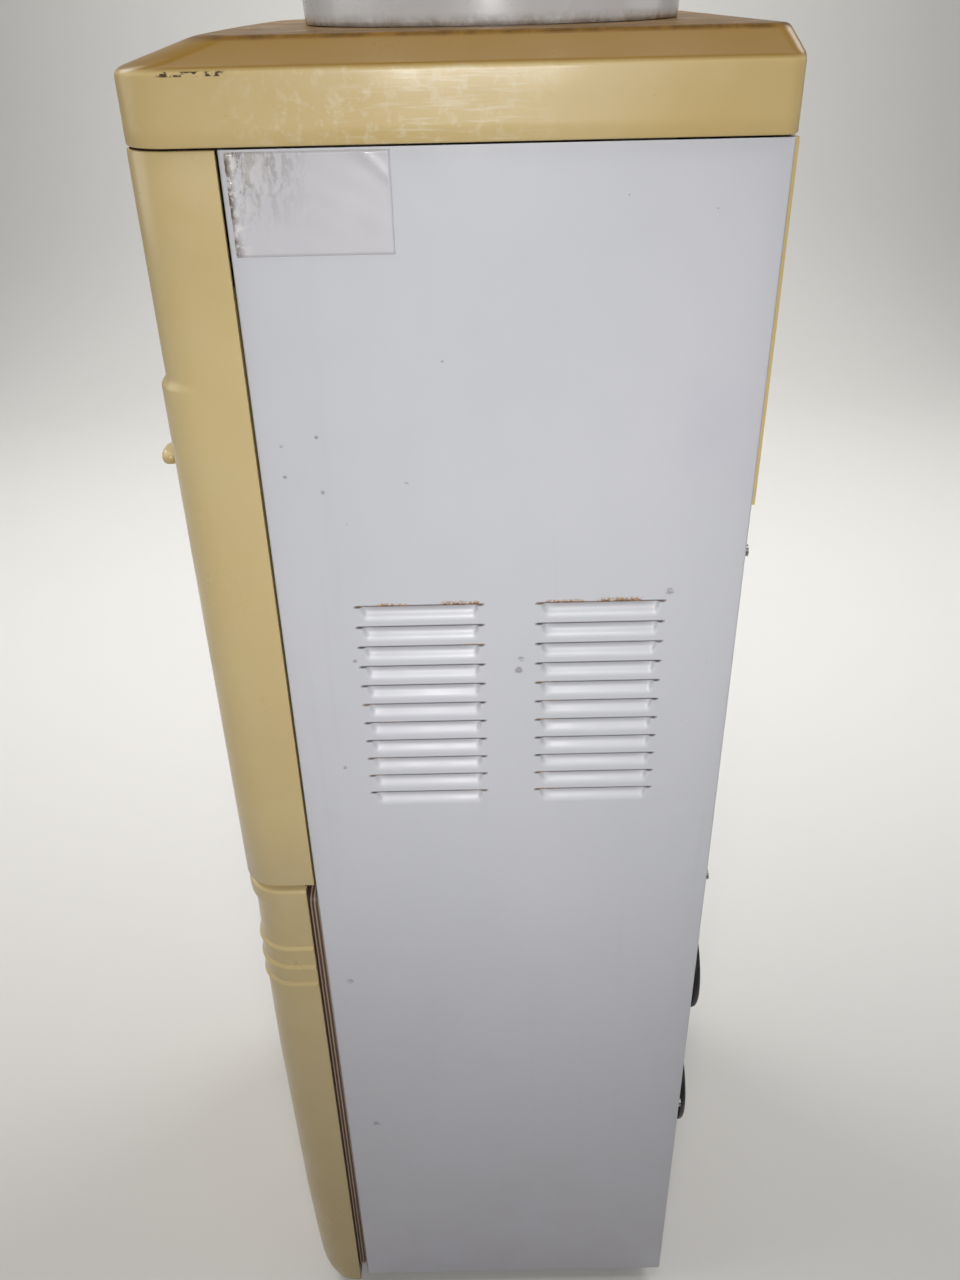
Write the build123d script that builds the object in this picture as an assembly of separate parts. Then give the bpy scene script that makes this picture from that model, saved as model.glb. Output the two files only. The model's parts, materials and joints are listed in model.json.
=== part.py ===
from build123d import *
import math
import os

os.makedirs("parts", exist_ok=True)

# Free-standing hot and cold water dispenser with a gasketed lower cabinet.
# Millimetres. X across, front towards -Y, +Z up, floor at Z = 0.

# ---------------------------------------------------------------- driving dimensions
cabinet_width = 306.0        # across the outer faces of the side panels
cabinet_depth = 258.0        # front edge to rear edge of a side panel
cabinet_height = 912.0       # bottom to top of a side panel
foot_height = 15.0
front_overhang = 83.0        # lever tips before the side panels
rear_overhang = 14.1         # condenser behind the side panels

sheet = 1.0                  # painted steel sheet
flange = 10.0                # return flange of a side panel
wall = 2.5                   # moulded outer shells
thin_wall = 2.0              # moulded inner liners
seat_gap = 0.2               # clearance between pieces that are fitted together
running_gap = 0.05           # radial clearance of a pin in its hole

panel_overlap = 1.0          # front mouldings stand this much wider than the cabinet, each side
panel_seam = 1.0             # seam between a front moulding and the side panels
corner_radius = 24.0         # upright front corners
front_bow = 4.0              # how far the front swells in the middle
reach_upper = 48.5           # front panel before the side panels, above the step
reach_lower = 51.5           # and below it
step_below_roof = 109.0
front_panel_bottom = 483.0

cover_overhang = 2.0
cover_reach = 48.0
cover_seam = 1.0
cover_band = 31.0            # upright band of the top cover
cover_rise = 12.0            # sloped shoulder above the band
shoulder_front = 36.0        # plan width of the shoulder at the front
shoulder_side = 13.0
shoulder_rear = 6.0
cover_rear_radius = 8.0

collar_back = 125.5          # collar centre behind the side panels' front edge
collar_radius = 99.0
collar_height = 48.0
collar_wall = 3.0
collar_lip = 3.5
throat_radius = 45.0
throat_below_cover = 45.0

alcove_half = 112.0
alcove_bottom = 502.0
alcove_below_roof = 141.0
alcove_back = 12.0           # inner face of the alcove's back wall behind the front edge
alcove_radius = 14.0

door_bottom = 6.0
door_top = 478.0
gasket_depth = 7.0
gasket_width = 14.0
gasket_inset = 10.5
gasket_low = 17.5
gasket_high = 472.0
ridge_levels = (427.0, 409.0, 392.0)   # upper edges of the three ridges
ridge_height = 6.4
ridge_proud = 1.0
ridge_foot_share = 0.6        # share of a ridge's height at its full proudness
lip_height = 8.0
lip_reach = 51.0
hinge_inset = 10.0           # hinge axis from the door's side face
hinge_before = 15.0          # hinge axis before the side panels' front edge
hinge_pin_radius = 2.5
hinge_bush_radius = 4.2
hinge_boss_radius = 5.8

louvre_rows = 11
louvre_pitch = 13.25
louvre_height = 8.5
louvre_depth = 3.0
louvre_columns = ((44.0, 114.0), (145.5, 215.5))
louvre_below_middle = 13.0   # topmost slit below the middle of the upper cabinet

tap_offset = 50.0            # each tap from the middle
tap_before = 20.0            # tap barrel before the side panels' front edge
tap_barrel_radius = 13.0
tap_below_roof = 170.0
tap_length = 51.0
spout_length = 18.0
spout_radius = 8.0
shank_below_roof = 197.0
pivot_ahead = 12.0           # lever pivot ahead of the barrel's axis
pivot_rise = 6.0             # and above the barrel's top
lever_pin_radius = 2.0
lever_tip_below_roof = 181.0
lever_tip_height = 15.0
lever_tip_width = 24.0

liner_inset = 23.0
liner_bottom = 34.0
liner_top = 468.0
liner_before_rear = 53.0      # space behind the tub for the pipes
liner_well_depth = 93.0      # the tub is this much shallower before the compressor
liner_step_z = 215.0
foam = 12.0                  # least insulation around the cabinet liner

shelf_wire_radius = 2.0
shelf_level = 260.0

divider_z = 484.0
plate = 1.2                  # internal steel plates
tank_shelf_below_roof = 181.0

cold_tank_radius = 75.0
cold_tank_above_shelf = 14.0
cold_tank_below_roof = 12.0
tank_wall = 1.2
cold_foam_radius = 104.0
coil_tube_radius = 3.0
coil_turns = 6
coil_pitch = 11.0

hot_tank_x = -46.0
hot_tank_back = 122.0
hot_tank_radius = 50.0
hot_tank_bottom = 500.0
hot_tank_below_shelf = 70.0

compressor_x = -30.0
compressor_before_rear = 68.0
compressor_radius = 58.0
compressor_bottom = 28.0
compressor_height = 150.0

condenser_tube_radius = 3.1
condenser_wire_radius = 0.75
condenser_top = 374.0
condenser_pitch = 69.0
condenser_half = 128.0
condenser_passes = 4
condenser_wire_pitch = 10.0
condenser_wire_reach = 90.0

back_panel_bottom = 205.0
rear_cover_height = 178.0

# ---------------------------------------------------------------- derived places
front_edge = (front_overhang - cabinet_depth - rear_overhang) / 2
rear_edge = front_edge + cabinet_depth
half = cabinet_width / 2
inner_half = half - sheet
base_z = foot_height
roof_z = base_z + cabinet_height
moulding_half = half + panel_overlap
gasket_half = half - gasket_inset
liner_half = half - liner_inset
cover_bottom = roof_z + cover_seam
cover_shoulder = cover_bottom + cover_band
cover_top = cover_shoulder + cover_rise
door_back = front_edge - gasket_depth
hinge_x = -(moulding_half - hinge_inset)
hinge_y = front_edge - hinge_before
collar_y = front_edge + collar_back
tap_y = front_edge - tap_before
pivot_y = tap_y - pivot_ahead
alcove_wall_y = front_edge + alcove_back
step_z = roof_z - step_below_roof
throat_bottom = cover_top - throat_below_cover
alcove_top = roof_z - alcove_below_roof
tap_top = roof_z - tap_below_roof
tap_bottom = tap_top - tap_length
pivot_z = tap_top + pivot_rise
shank_z = roof_z - shank_below_roof
lever_tip_z = roof_z - lever_tip_below_roof
liner_deep = cabinet_depth - liner_before_rear
liner_shallow = liner_deep - liner_well_depth
compressor_back = cabinet_depth - compressor_before_rear
tank_shelf_z = roof_z - tank_shelf_below_roof
cold_tank_bottom = tank_shelf_z + cold_tank_above_shelf
cold_tank_top = roof_z - cold_tank_below_roof
hot_tank_top = tank_shelf_z - hot_tank_below_shelf
hot_tank_height = hot_tank_top - hot_tank_bottom
rear_cover_bottom = roof_z - rear_cover_height
louvre_top = (divider_z + roof_z) / 2 - louvre_below_middle
back_panel_out = rear_edge - sheet
condenser_y = rear_edge + rear_overhang - 2 * condenser_wire_radius - seat_gap / 2 - condenser_tube_radius


# ---------------------------------------------------------------- helpers
def block(x0, x1, y0, y1, z0, z1):
    """An upright box between two corners."""
    centre = Pos((x0 + x1) / 2, (y0 + y1) / 2, (z0 + z1) / 2)
    return centre * Box(x1 - x0, y1 - y0, z1 - z0)


def rod_z(x, y, z0, z1, radius):
    return Pos(x, y, (z0 + z1) / 2) * Cylinder(radius, z1 - z0)


def rod_x(x0, x1, y, z, radius):
    return Pos((x0 + x1) / 2, y, z) * Rot(0, 90, 0) * Cylinder(radius, x1 - x0)


def rod_y(x, y0, y1, z, radius):
    return Pos(x, (y0 + y1) / 2, z) * Rot(90, 0, 0) * Cylinder(radius, y1 - y0)


def tube_z(x, y, z0, z1, outer, inner):
    return rod_z(x, y, z0, z1, outer) - rod_z(x, y, z0 - 1, z1 + 1, inner)


def mirrored(shape):
    return mirror(shape, about=Plane.YZ)


def save(name, *shapes):
    """Write one node; several shapes stay separate solids in it."""
    solids = []
    for shape in shapes:
        solids.extend(shape.solids())
    whole = solids[0] if len(solids) == 1 else Compound(children=solids)
    whole.label = name
    export_step(whole, f"parts/{name}.step")


def side_prism(points, x0, x1):
    """A profile given as (y, z) points, extruded from x0 to x1."""
    face = Plane.YZ * make_face(Polyline(*points, close=True))
    return Pos(x0, 0, 0) * extrude(face, amount=x1 - x0, dir=(1, 0, 0))


def ring_solid(points, x, y):
    """A closed (radius, z) profile turned about an upright axis."""
    face = Plane.XZ * make_face(Polyline(*points, close=True))
    return Pos(x, y, 0) * revolve(face, axis=Axis.Z)


def front_outline(half_x, back, reach, radius, z, bow=front_bow):
    """Plan of a front moulding: straight sides, rounded corners and a slightly swelled front."""
    corner_y = front_edge - reach + bow
    with BuildSketch(Plane.XY.offset(z)) as plan:
        with BuildLine():
            Polyline((half_x, corner_y), (half_x, back), (-half_x, back), (-half_x, corner_y))
            ThreePointArc((-half_x, corner_y), (0, front_edge - reach), (half_x, corner_y))
        make_face()
        fillet(plan.vertices().sort_by(Axis.Y)[:2], radius)
    return plan.sketch.face()


def front_block(half_x, back, reach, radius, z0, z1):
    return extrude(front_outline(half_x, back, reach, radius, z0), amount=z1 - z0, dir=(0, 0, 1))


def tube_along(points, bend, outer, inner=0.0):
    """A tube on straight runs joined by tangent arcs."""
    path = FilletPolyline(*points, radius=bend)
    start = Plane(origin=path @ 0, z_dir=path % 0)
    pipe = sweep(start * Circle(outer), path=path)
    if inner > 0:
        pipe -= sweep(start * Circle(inner), path=path)
    return pipe


def screw_y(x, y, z, head=1.8, length=6.0, sign=1):
    """A pan-head screw driven along -Y (sign 1) or +Y (sign -1); its head bears on the face at y."""
    top = rod_y(x, min(y, y + sign * head), max(y, y + sign * head), z, 3.4)
    shank = rod_y(x, min(y, y - sign * length), max(y, y - sign * length), z, screw_radius)
    return top + shank


screw_radius = 1.5
screw_hole = screw_radius + seat_gap / 2


# ---------------------------------------------------------------- steel cabinet
def side_panel():
    """Right-hand side panel: sheet with return flanges and two columns of pressed louvres."""
    panel = block(inner_half, half, front_edge, rear_edge, base_z, roof_z)
    panel += block(half - flange, half, front_edge, front_edge + sheet, base_z, roof_z)
    panel += block(half - flange, half, back_panel_out, rear_edge, base_z, roof_z)
    windows = []
    scoops = []
    for y_from, y_to in louvre_columns:
        y0 = front_edge + y_from
        y1 = front_edge + y_to
        for row in range(louvre_rows):
            z1 = louvre_top - row * louvre_pitch
            z0 = z1 - louvre_height
            windows.append(block(inner_half - 1, half + 1, y0, y1, z0, z1))
            scoops.append(louvre(y0, y1, z0, z1))
    panel -= windows
    panel += scoops
    for level in back_screw_levels:
        panel -= rod_y(back_screw_x, back_panel_out - 1, rear_edge + 1, level, screw_hole)
    return panel


def louvre(y0, y1, z0, z1):
    """Sheet pressed inwards: a ramp that leans in towards an open slit at its top, with closed ends."""
    ramp = [(half - sheet, z0), (half, z0), (half - louvre_depth, z1), (half - louvre_depth - sheet, z1)]
    cheek = [(half - sheet, z0), (half, z0), (half, z1), (half - louvre_depth - sheet, z1)]
    ramp_face = Plane.XZ * make_face(Polyline(*ramp, close=True))
    cheek_face = Plane.XZ * make_face(Polyline(*cheek, close=True))
    scoop = Pos(0, y0, 0) * extrude(ramp_face, amount=y1 - y0, dir=(0, 1, 0))
    scoop += Pos(0, y0, 0) * extrude(cheek_face, amount=sheet, dir=(0, 1, 0))
    scoop += Pos(0, y1 - sheet, 0) * extrude(cheek_face, amount=sheet, dir=(0, 1, 0))
    return scoop


def base_pan():
    """Folded tray that carries the compressor and joins the two side panels."""
    y0 = front_edge + liner_flange
    y1 = back_panel_out - sheet
    lip = 18.0
    pan = block(-inner_half, inner_half, y0, y1, base_z, base_z + plate)
    pan += block(-inner_half, inner_half, y0, y0 + plate, base_z, base_z + lip)
    pan += block(-inner_half, inner_half, y1 - plate, y1, base_z, base_z + lip)
    pan += block(-inner_half, -inner_half + plate, y0, y1, base_z, base_z + lip)
    pan += block(inner_half - plate, inner_half, y0, y1, base_z, base_z + lip)
    for x, y in foot_places:
        pan -= rod_z(x, y, base_z - 1, base_z + plate + 1, foot_stud_radius + running_gap)
    for x, y in grommet_places:
        pan -= rod_z(x, y, base_z - 1, base_z + plate + 1, grommet_neck + running_gap)
    pan -= rod_y(gland_x, y1 - plate - 1, y1 + 1, gland_z, gland_neck + running_gap)
    return pan


def feet():
    """Four moulded feet, each with a stud that snaps into the base pan."""
    made = []
    for x, y in foot_places:
        foot = Pos(x, y, foot_height / 2) * Cone(foot_radius - 2, foot_radius, foot_height)
        foot += rod_z(x, y, foot_height, base_z + plate + 1.5, foot_stud_radius)
        made.append(foot)
    return made


def front_rail():
    """Cross rail between the side panels' front flanges, behind the seam above the door."""
    inside = half - flange - seat_gap
    rail = block(-inside, inside, front_edge, front_edge + plate, divider_z, rail_top)
    for sign in (-1, 1):
        x0 = min(sign * (inside - 12), sign * inner_half)
        x1 = max(sign * (inside - 12), sign * inner_half)
        rail += block(x0, x1, front_edge + sheet, front_edge + sheet + plate, divider_z, rail_top)
    return rail


def divider_plate():
    """Shelf over the cabinet; it carries the hot tank and rests against the front rail."""
    y0 = front_edge + sheet + plate
    y1 = back_panel_out - sheet
    shelf = block(-inner_half, inner_half, y0, y1, divider_z, divider_z + plate)
    shelf -= pipe_holes(divider_z)
    return shelf


def tank_shelf():
    y0 = front_edge + 24.0
    y1 = back_panel_out - sheet
    shelf = block(-inner_half, inner_half, y0, y1, tank_shelf_z, tank_shelf_z + plate)
    shelf -= pipe_holes(tank_shelf_z)
    for x, y in hose_places:
        shelf -= rod_z(x, y, tank_shelf_z - 1, tank_shelf_z + plate + 1, hose_radius + 1.5)
    return shelf


def pipe_holes(z):
    """Clearance for the pipes that run up the back."""
    made = []
    for x in (suction_x, capillary_x):
        made.append(rod_z(x, riser_y, z - 1, z + plate + 1, 6.0))
    return made


def back_panel():
    y1 = back_panel_out
    y0 = y1 - sheet
    panel = block(-inner_half, inner_half, y0, y1, back_panel_bottom, roof_z - 2)
    for sign in (-1, 1):
        for level in back_screw_levels:
            panel -= rod_y(sign * back_screw_x, y0 - 1, y1 + 1, level, screw_hole)
    for level in switch_levels:
        panel -= block(switch_x - switch_half_x - seat_gap / 2, switch_x + switch_half_x + seat_gap / 2,
                       y0 - 1, y1 + 1,
                       level - switch_half_z - seat_gap / 2, level + switch_half_z + seat_gap / 2)
    panel -= rod_y(hot_tank_x, y0 - 1, y1 + 1, drain_z, drain_radius + seat_gap)
    for x in vent_places:
        for level in vent_levels:
            panel -= block(x - vent_half, x + vent_half, y0 - 1, y1 + 1, level - vent_rise / 2, level + vent_rise / 2)
    return panel


def rear_upper_cover():
    """Moulded cover over the upper back, outside the side panels' rear flanges."""
    return block(-half + 1, half - 1, rear_edge, rear_edge + rear_cover_wall, rear_cover_bottom, roof_z)


def back_screws():
    made = []
    for sign in (-1, 1):
        for level in back_screw_levels:
            made.append(screw_y(sign * back_screw_x, rear_edge, level))
    return made


foot_radius = 14.0
foot_stud_radius = 4.0
foot_places = [(sx * (half - 24), y) for sx in (-1, 1) for y in (front_edge + 26, rear_edge - 26)]
liner_flange = 2.0
rail_top = divider_z + 16.0
rear_cover_wall = 1.6
back_screw_x = half - flange / 2 - 0.5
back_screw_levels = (back_panel_bottom + 35, divider_z - 4, rear_cover_bottom - 29)
vent_places = (-60.0, -30.0, 0.0, 30.0, 60.0)
vent_levels = [rear_cover_bottom - 109 + 20 * row for row in range(4)]
vent_half = 8.0
vent_rise = 5.0
riser_y = rear_edge - 18.0
switch_x = half - 45.0
switch_levels = (rear_cover_bottom - 149, rear_cover_bottom - 99)
switch_half_x = 11.0
switch_half_z = 15.0
capillary_x = switch_x - switch_half_x - 5.0
suction_x = capillary_x - 22.0
drier_bottom = 50.0
drain_z = hot_tank_bottom + 12.0
drain_radius = 6.0
hose_radius = 5.0
gland_x = 43.0 - half
gland_z = base_z + 10.0
gland_neck = 5.0
grommet_neck = 4.5
grommet_places = [(compressor_x + sx * 62, front_edge + compressor_back + sy * 34) for sx in (-1, 1) for sy in (-1, 1)]


# ---------------------------------------------------------------- beige mouldings
def front_panel():
    """Upper front shell with a step in the middle and a window for the alcove."""
    back = front_edge - panel_seam
    low = front_panel_bottom
    outer = front_block(moulding_half, back, reach_lower, corner_radius, low, step_z)
    outer += front_block(moulding_half, back, reach_upper, corner_radius, step_z, roof_z)
    inner = front_block(moulding_half - wall, back + 1, reach_lower - wall, corner_radius - wall,
                        low - 1, step_z - wall)
    inner += front_block(moulding_half - wall, back + 1, reach_upper - wall, corner_radius - wall,
                         step_z - wall, roof_z + 1)
    shell = outer - inner
    sill = front_block(moulding_half - 1, front_edge - 3, reach_lower - 1, corner_radius - 1, low, low + wall)
    shell += sill
    window = block(-alcove_half, alcove_half, front_edge - reach_lower - 5, front_edge - 20,
                   alcove_bottom, alcove_top)
    shell -= fillet(window.edges().filter_by(Axis.Y), alcove_radius)
    for x in lamp_places:
        shell -= rod_y(x, front_edge - reach_upper - 1, front_edge - 30, lamp_z, lamp_radius + seat_gap)
    tab = block(half - flange, moulding_half - 1, back - 10, back, 0, tab_height)
    tab += block(half - flange, half - 0.5, back - 1, front_edge, 0, tab_height)
    for z in (rail_top + 20, step_z - 60, roof_z - 40):
        raised = Pos(0, 0, z) * tab
        shell += raised
        shell += mirrored(raised)
    return shell


def top_cover():
    """Cover with an upright band, a sloped shoulder wider at the front, and the collar's opening."""
    outer = cover_solid(0)
    inner = cover_solid(wall)
    cover = outer - inner
    cover -= rod_z(0, collar_y, cover_top - 2 * wall, cover_top + 1, collar_radius - collar_wall - 6)
    return cover


def cover_plan(half_x, front, rear, radius, rear_radius, z):
    """Plan of the cover: front reach and rear edge given as y values."""
    with BuildSketch(Plane.XY.offset(z)) as plan:
        with BuildLine():
            Polyline((half_x, front + front_bow), (half_x, rear), (-half_x, rear), (-half_x, front + front_bow))
            ThreePointArc((-half_x, front + front_bow), (0, front), (half_x, front + front_bow))
        make_face()
        fillet(plan.vertices().sort_by(Axis.Y)[:2], radius)
        fillet(plan.vertices().sort_by(Axis.Y)[-2:], rear_radius)
    return plan.sketch.face()


def cover_solid(inset):
    """Outer form of the cover, or its hollow when inset by the wall."""
    half_x = half + cover_overhang - inset
    front = front_edge - cover_reach + inset
    rear = rear_edge + rear_cover_wall - inset
    low = cover_bottom - (1 if inset else 0)
    band = extrude(cover_plan(half_x, front, rear, corner_radius - inset, cover_rear_radius - inset, low),
                   amount=cover_shoulder - inset / 2 - low, dir=(0, 0, 1))
    foot = cover_plan(half_x, front, rear, corner_radius - inset, cover_rear_radius - inset,
                      cover_shoulder - inset / 2)
    head = cover_plan(half_x - shoulder_side, front + shoulder_front, rear - shoulder_rear,
                      corner_radius - inset, cover_rear_radius - inset, cover_top - inset)
    return band + loft([foot, head], ruled=True)


def alcove_liner():
    """Open-fronted tub for the cup space; its rim sits in the front panel's window."""
    w = alcove_half - seat_gap
    z0 = alcove_bottom + seat_gap
    z1 = alcove_top - seat_gap
    y0 = front_edge - reach_lower + wall + 2.0
    y1 = alcove_wall_y + thin_wall
    outer = block(-w, w, y0, y1, z0, z1)
    outer = fillet(outer.edges().filter_by(Axis.Y), alcove_radius - seat_gap)
    inner = block(-w + thin_wall, w - thin_wall, y0 - 1, alcove_wall_y, z0 + thin_wall, z1 - thin_wall)
    inner = fillet(inner.edges().filter_by(Axis.Y), alcove_radius - seat_gap - thin_wall)
    tub = outer - inner
    for x in (-tap_offset, tap_offset):
        tub -= rod_y(x, alcove_wall_y - 1, y1 + 1, shank_z, shank_radius + seat_gap / 2)
    return tub


def indicator_lamps():
    """Three small lenses in the brow of the front panel."""
    made = []
    for x in lamp_places:
        face_y = front_edge - reach_upper
        lamp = rod_y(x, face_y + 0.2, face_y + wall + 5, lamp_z, lamp_radius)
        lamp += rod_y(x, face_y + wall + 1.2, face_y + wall + 5, lamp_z, lamp_radius + 1)
        made.append(lamp)
    return made


def drip_tray():
    y0 = front_edge - reach_lower + 7
    y1 = alcove_wall_y - 1
    tray = block(-tray_half, tray_half, y0, y1, tray_z, tray_top)
    tray -= block(-tray_half + thin_wall, tray_half - thin_wall, y0 + thin_wall, y1 - thin_wall,
                  tray_z + thin_wall, tray_top + 1)
    tray += block(-tray_half + 10, tray_half - 10, y0 - 5, y0 + 1, tray_top - thin_wall, tray_top)
    ledge = block(-tray_half, tray_half, y0, y1, tray_top - grille_thick - 1.5, tray_top - grille_thick)
    ledge -= block(-tray_half + 4, tray_half - 4, y0 + 4, y1 - 4, tray_z, tray_top)
    return tray + ledge


def drip_grille():
    y0 = front_edge - reach_lower + 7 + thin_wall + 0.3
    y1 = alcove_wall_y - 1 - thin_wall - 0.3
    grille_half = tray_half - thin_wall - 0.3
    z0 = tray_top - grille_thick
    grille = block(-grille_half, grille_half, y0, y1, z0, z0 + grille_thick)
    slot = 5.0
    step = 9.0
    count = int((2 * grille_half - 16) // step)
    first = -(count - 1) * step / 2
    slots = []
    for index in range(count):
        x = first + index * step
        slots.append(block(x - slot / 2, x + slot / 2, y0 + 6, y1 - 6, z0 - 1, z0 + grille_thick + 1))
    return grille - slots


tab_height = 12.0
shank_radius = 8.0
lamp_radius = 3.0
lamp_z = roof_z - 55.0
lamp_places = (-22.0, 0.0, 22.0)
tray_half = 96.0
tray_z = alcove_bottom + seat_gap + thin_wall
tray_top = tray_z + 18.0
grille_thick = 3.0


# ---------------------------------------------------------------- bottle collar
def bottle_collar():
    """Seat for the bottle: upright ring with a foot lip, a sloping funnel and a throat."""
    r = collar_radius
    top = cover_top + collar_height
    profile = [
        (throat_radius + collar_wall, throat_bottom),
        (throat_radius + collar_wall, cover_top + 6),
        (r - collar_wall - 7, cover_top + 14),
        (r - collar_wall - 7, cover_top),
        (r + collar_lip, cover_top),
        (r + collar_lip, cover_top + collar_lip),
        (r, cover_top + collar_lip + 1),
        (r, top - 2),
        (r - 2, top),
        (r - collar_wall - 3, top),
        (r - collar_wall - 5, top - 4),
        (r - collar_wall - 5, cover_top + 22),
        (throat_radius, cover_top + 9),
        (throat_radius, throat_bottom),
    ]
    ring = ring_solid(profile, 0, collar_y)
    spokes = []
    for angle in (0, 60, 120):
        bar = Pos(0, collar_y, throat_bottom + 12) * Rot(0, 0, angle) * Box(2 * throat_radius + 3, 4, 6)
        spokes.append(bar)
    hub = rod_z(0, collar_y, throat_bottom + 4, throat_bottom + 20, probe_radius + 4)
    ring += spokes
    ring += hub
    ring -= rod_z(0, collar_y, throat_bottom - 1, throat_bottom + 22, probe_radius + running_gap)
    return ring


def bottle_probe():
    """Upright spike that opens the bottle's cap, with side ports and an air passage."""
    z0 = throat_bottom + 2
    z1 = cover_top + collar_height - 6
    probe = rod_z(0, collar_y, z0, z1 - 12, probe_radius)
    probe += Pos(0, collar_y, z1 - 6) * Cone(probe_radius, 4, 12)
    probe -= rod_z(0, collar_y, z0 - 1, z1 - 14, probe_radius - 3)
    probe -= rod_x(-20, 20, collar_y, z1 - 24, 4.5)
    probe += tube_z(0, collar_y, throat_bottom + 20, throat_bottom + 24, probe_radius + 3, probe_radius - 1)
    return probe


probe_radius = 13.0


# ---------------------------------------------------------------- cabinet door
def door_form(inset, back, z_cut=0.0):
    """Outer form of the door, swelling in the middle and drawn in at its foot, or its hollow."""
    sections = []
    low = door_levels[0][0] + inset
    high = door_top - lip_height
    for z, reach in door_levels:
        level = min(max(z, low), high)
        sections.append(front_outline(moulding_half - inset, back, reach - inset, corner_radius - inset, level))
    form = loft(sections, ruled=True)
    top = door_top - inset
    lip = front_block(moulding_half - inset, back, lip_reach - inset, corner_radius - inset, high, top)
    return form + lip


def door_shell():
    shell = door_form(0, door_back) - door_form(wall, door_back + 1)
    for top in ridge_levels:
        shell += door_ridge(top)
    for z0, z1 in hinge_bosses:
        shell += rod_z(hinge_x, hinge_y, z0, z1, hinge_boss_radius)
    shell -= rod_z(hinge_x, hinge_y, door_bottom - 1, door_bottom + hinge_bush_length + 0.1, hinge_bush_radius + 0.02)
    shell -= rod_z(hinge_x, hinge_y, door_top - hinge_bush_length - 0.1, door_top + 1, hinge_bush_radius + 0.02)
    return shell


def door_reach(z):
    """How far the door's front stands before the side panels at one height."""
    for (low, reach_low), (high, reach_high) in zip(door_levels, door_levels[1:]):
        if low <= z <= high:
            return reach_low + (reach_high - reach_low) * (z - low) / (high - low)
    return door_levels[-1][1]


def door_ridge(top):
    """A band round the door in two steps, proudest at its foot, with a sharp return underneath."""
    low = top - ridge_height
    middle = low + ridge_height * ridge_foot_share
    root = wall / 2
    reach = door_reach(low)
    ridge = front_block(moulding_half + ridge_proud, door_back, reach + ridge_proud, corner_radius + ridge_proud,
                        low, middle)
    half_proud = ridge_proud / 2
    ridge += front_block(moulding_half + half_proud, door_back, reach + half_proud, corner_radius + half_proud,
                         middle, top)
    core = front_block(moulding_half - root, door_back + 2, reach - root, corner_radius - root, low - 1, top + 1)
    return ridge - core


def door_liner():
    """Back of the door: a flat pan with a raised rib that stands inside the cabinet's mouth."""
    x = moulding_half - wall - seat_gap
    z0 = door_bottom + wall + seat_gap
    z1 = door_top - wall - seat_gap
    liner = block(-x, x, door_back - thin_wall, door_back, z0, z1)
    rib_half = liner_half - 18
    rib_low = liner_bottom + 26
    rib_high = liner_top - 32
    rib = block(-rib_half, rib_half, door_back, door_back + 17, rib_low, rib_high)
    rib = fillet(rib.edges().filter_by(Axis.Y), 12)
    hollow = block(-rib_half + 3, rib_half - 3, door_back + 2, door_back + 18, rib_low + 3, rib_high - 3)
    hollow = fillet(hollow.edges().filter_by(Axis.Y), 9)
    return liner + (rib - hollow)


def door_insulation():
    inset = wall + 2
    form = front_block(moulding_half - inset, door_back - thin_wall - seat_gap, least_reach - insulation_gap,
                       corner_radius - inset, door_bottom + 34, door_top - wall - 3)
    for z0, z1 in hinge_bosses:
        form -= rod_z(hinge_x, hinge_y, z0 - 2, z1 + 2, hinge_boss_radius + 1)
    return form


def door_gasket():
    """Ribbed magnetic seal between the door and the cabinet's mouth."""
    depth = gasket_depth
    lands = ((0.0, 0.0), (0.25, 1.5), (0.4, 0.0), (0.6, 1.5), (0.75, 0.0))
    made = []
    for index, (start, tuck) in enumerate(lands):
        end = lands[index + 1][0] if index + 1 < len(lands) else 1.0
        made.append(frame_ring(gasket_half - tuck, gasket_low + tuck, gasket_high - tuck, gasket_width - tuck,
                               door_back + start * depth, door_back + end * depth))
    ring = made[0]
    for piece in made[1:]:
        ring += piece
    return ring


def frame_ring(half_x, z0, z1, width, y0, y1):
    outer = block(-half_x, half_x, y0, y1, z0, z1)
    return outer - block(-half_x + width, half_x - width, y0 - 1, y1 + 1, z0 + width, z1 - width)


def hinge_bracket_top():
    """Plate in the seam above the door, with an upright leg on the front rail."""
    z0 = door_top + 1.4
    bracket = rod_z(hinge_x, hinge_y, z0, z0 + 2, 7)
    bracket += block(hinge_x - 7, hinge_x + 22, hinge_y, front_edge, z0, z0 + 2)
    bracket += block(-(half - flange - 1), hinge_x + 22, front_edge - 2, front_edge, z0, rail_top - 2)
    bracket -= rod_z(hinge_x, hinge_y, z0 - 1, z0 + 3, hinge_pin_radius)
    return bracket


def hinge_bracket_bottom():
    """Cranked plate under the door, fixed below the base pan."""
    z1 = door_bottom - 0.6
    z0 = z1 - 2
    y_leg = front_edge + liner_flange
    bracket = rod_z(hinge_x, hinge_y, z0, z1, 7)
    bracket += block(hinge_x - 7, hinge_x + 16, hinge_y, y_leg + 2, z0, z1)
    bracket += block(hinge_x - 7, hinge_x + 16, y_leg, y_leg + 2, z0, base_z)
    bracket += block(hinge_x - 7, hinge_x + 16, y_leg, y_leg + 9, base_z - 2, base_z)
    bracket -= rod_z(hinge_x, hinge_y, z0 - 1, z1 + 1, hinge_pin_radius)
    return bracket


def hinge_pins():
    top = rod_z(hinge_x, hinge_y, door_top - hinge_bush_length + 1, door_top + 3.4, hinge_pin_radius)
    low = rod_z(hinge_x, hinge_y, door_bottom - 2.6, door_bottom + hinge_bush_length - 1, hinge_pin_radius)
    return [top, low]


def hinge_bushes():
    made = []
    for z0 in (door_bottom, door_top - hinge_bush_length):
        made.append(tube_z(hinge_x, hinge_y, z0, z0 + hinge_bush_length, hinge_bush_radius,
                           hinge_pin_radius + running_gap))
    return made


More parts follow.
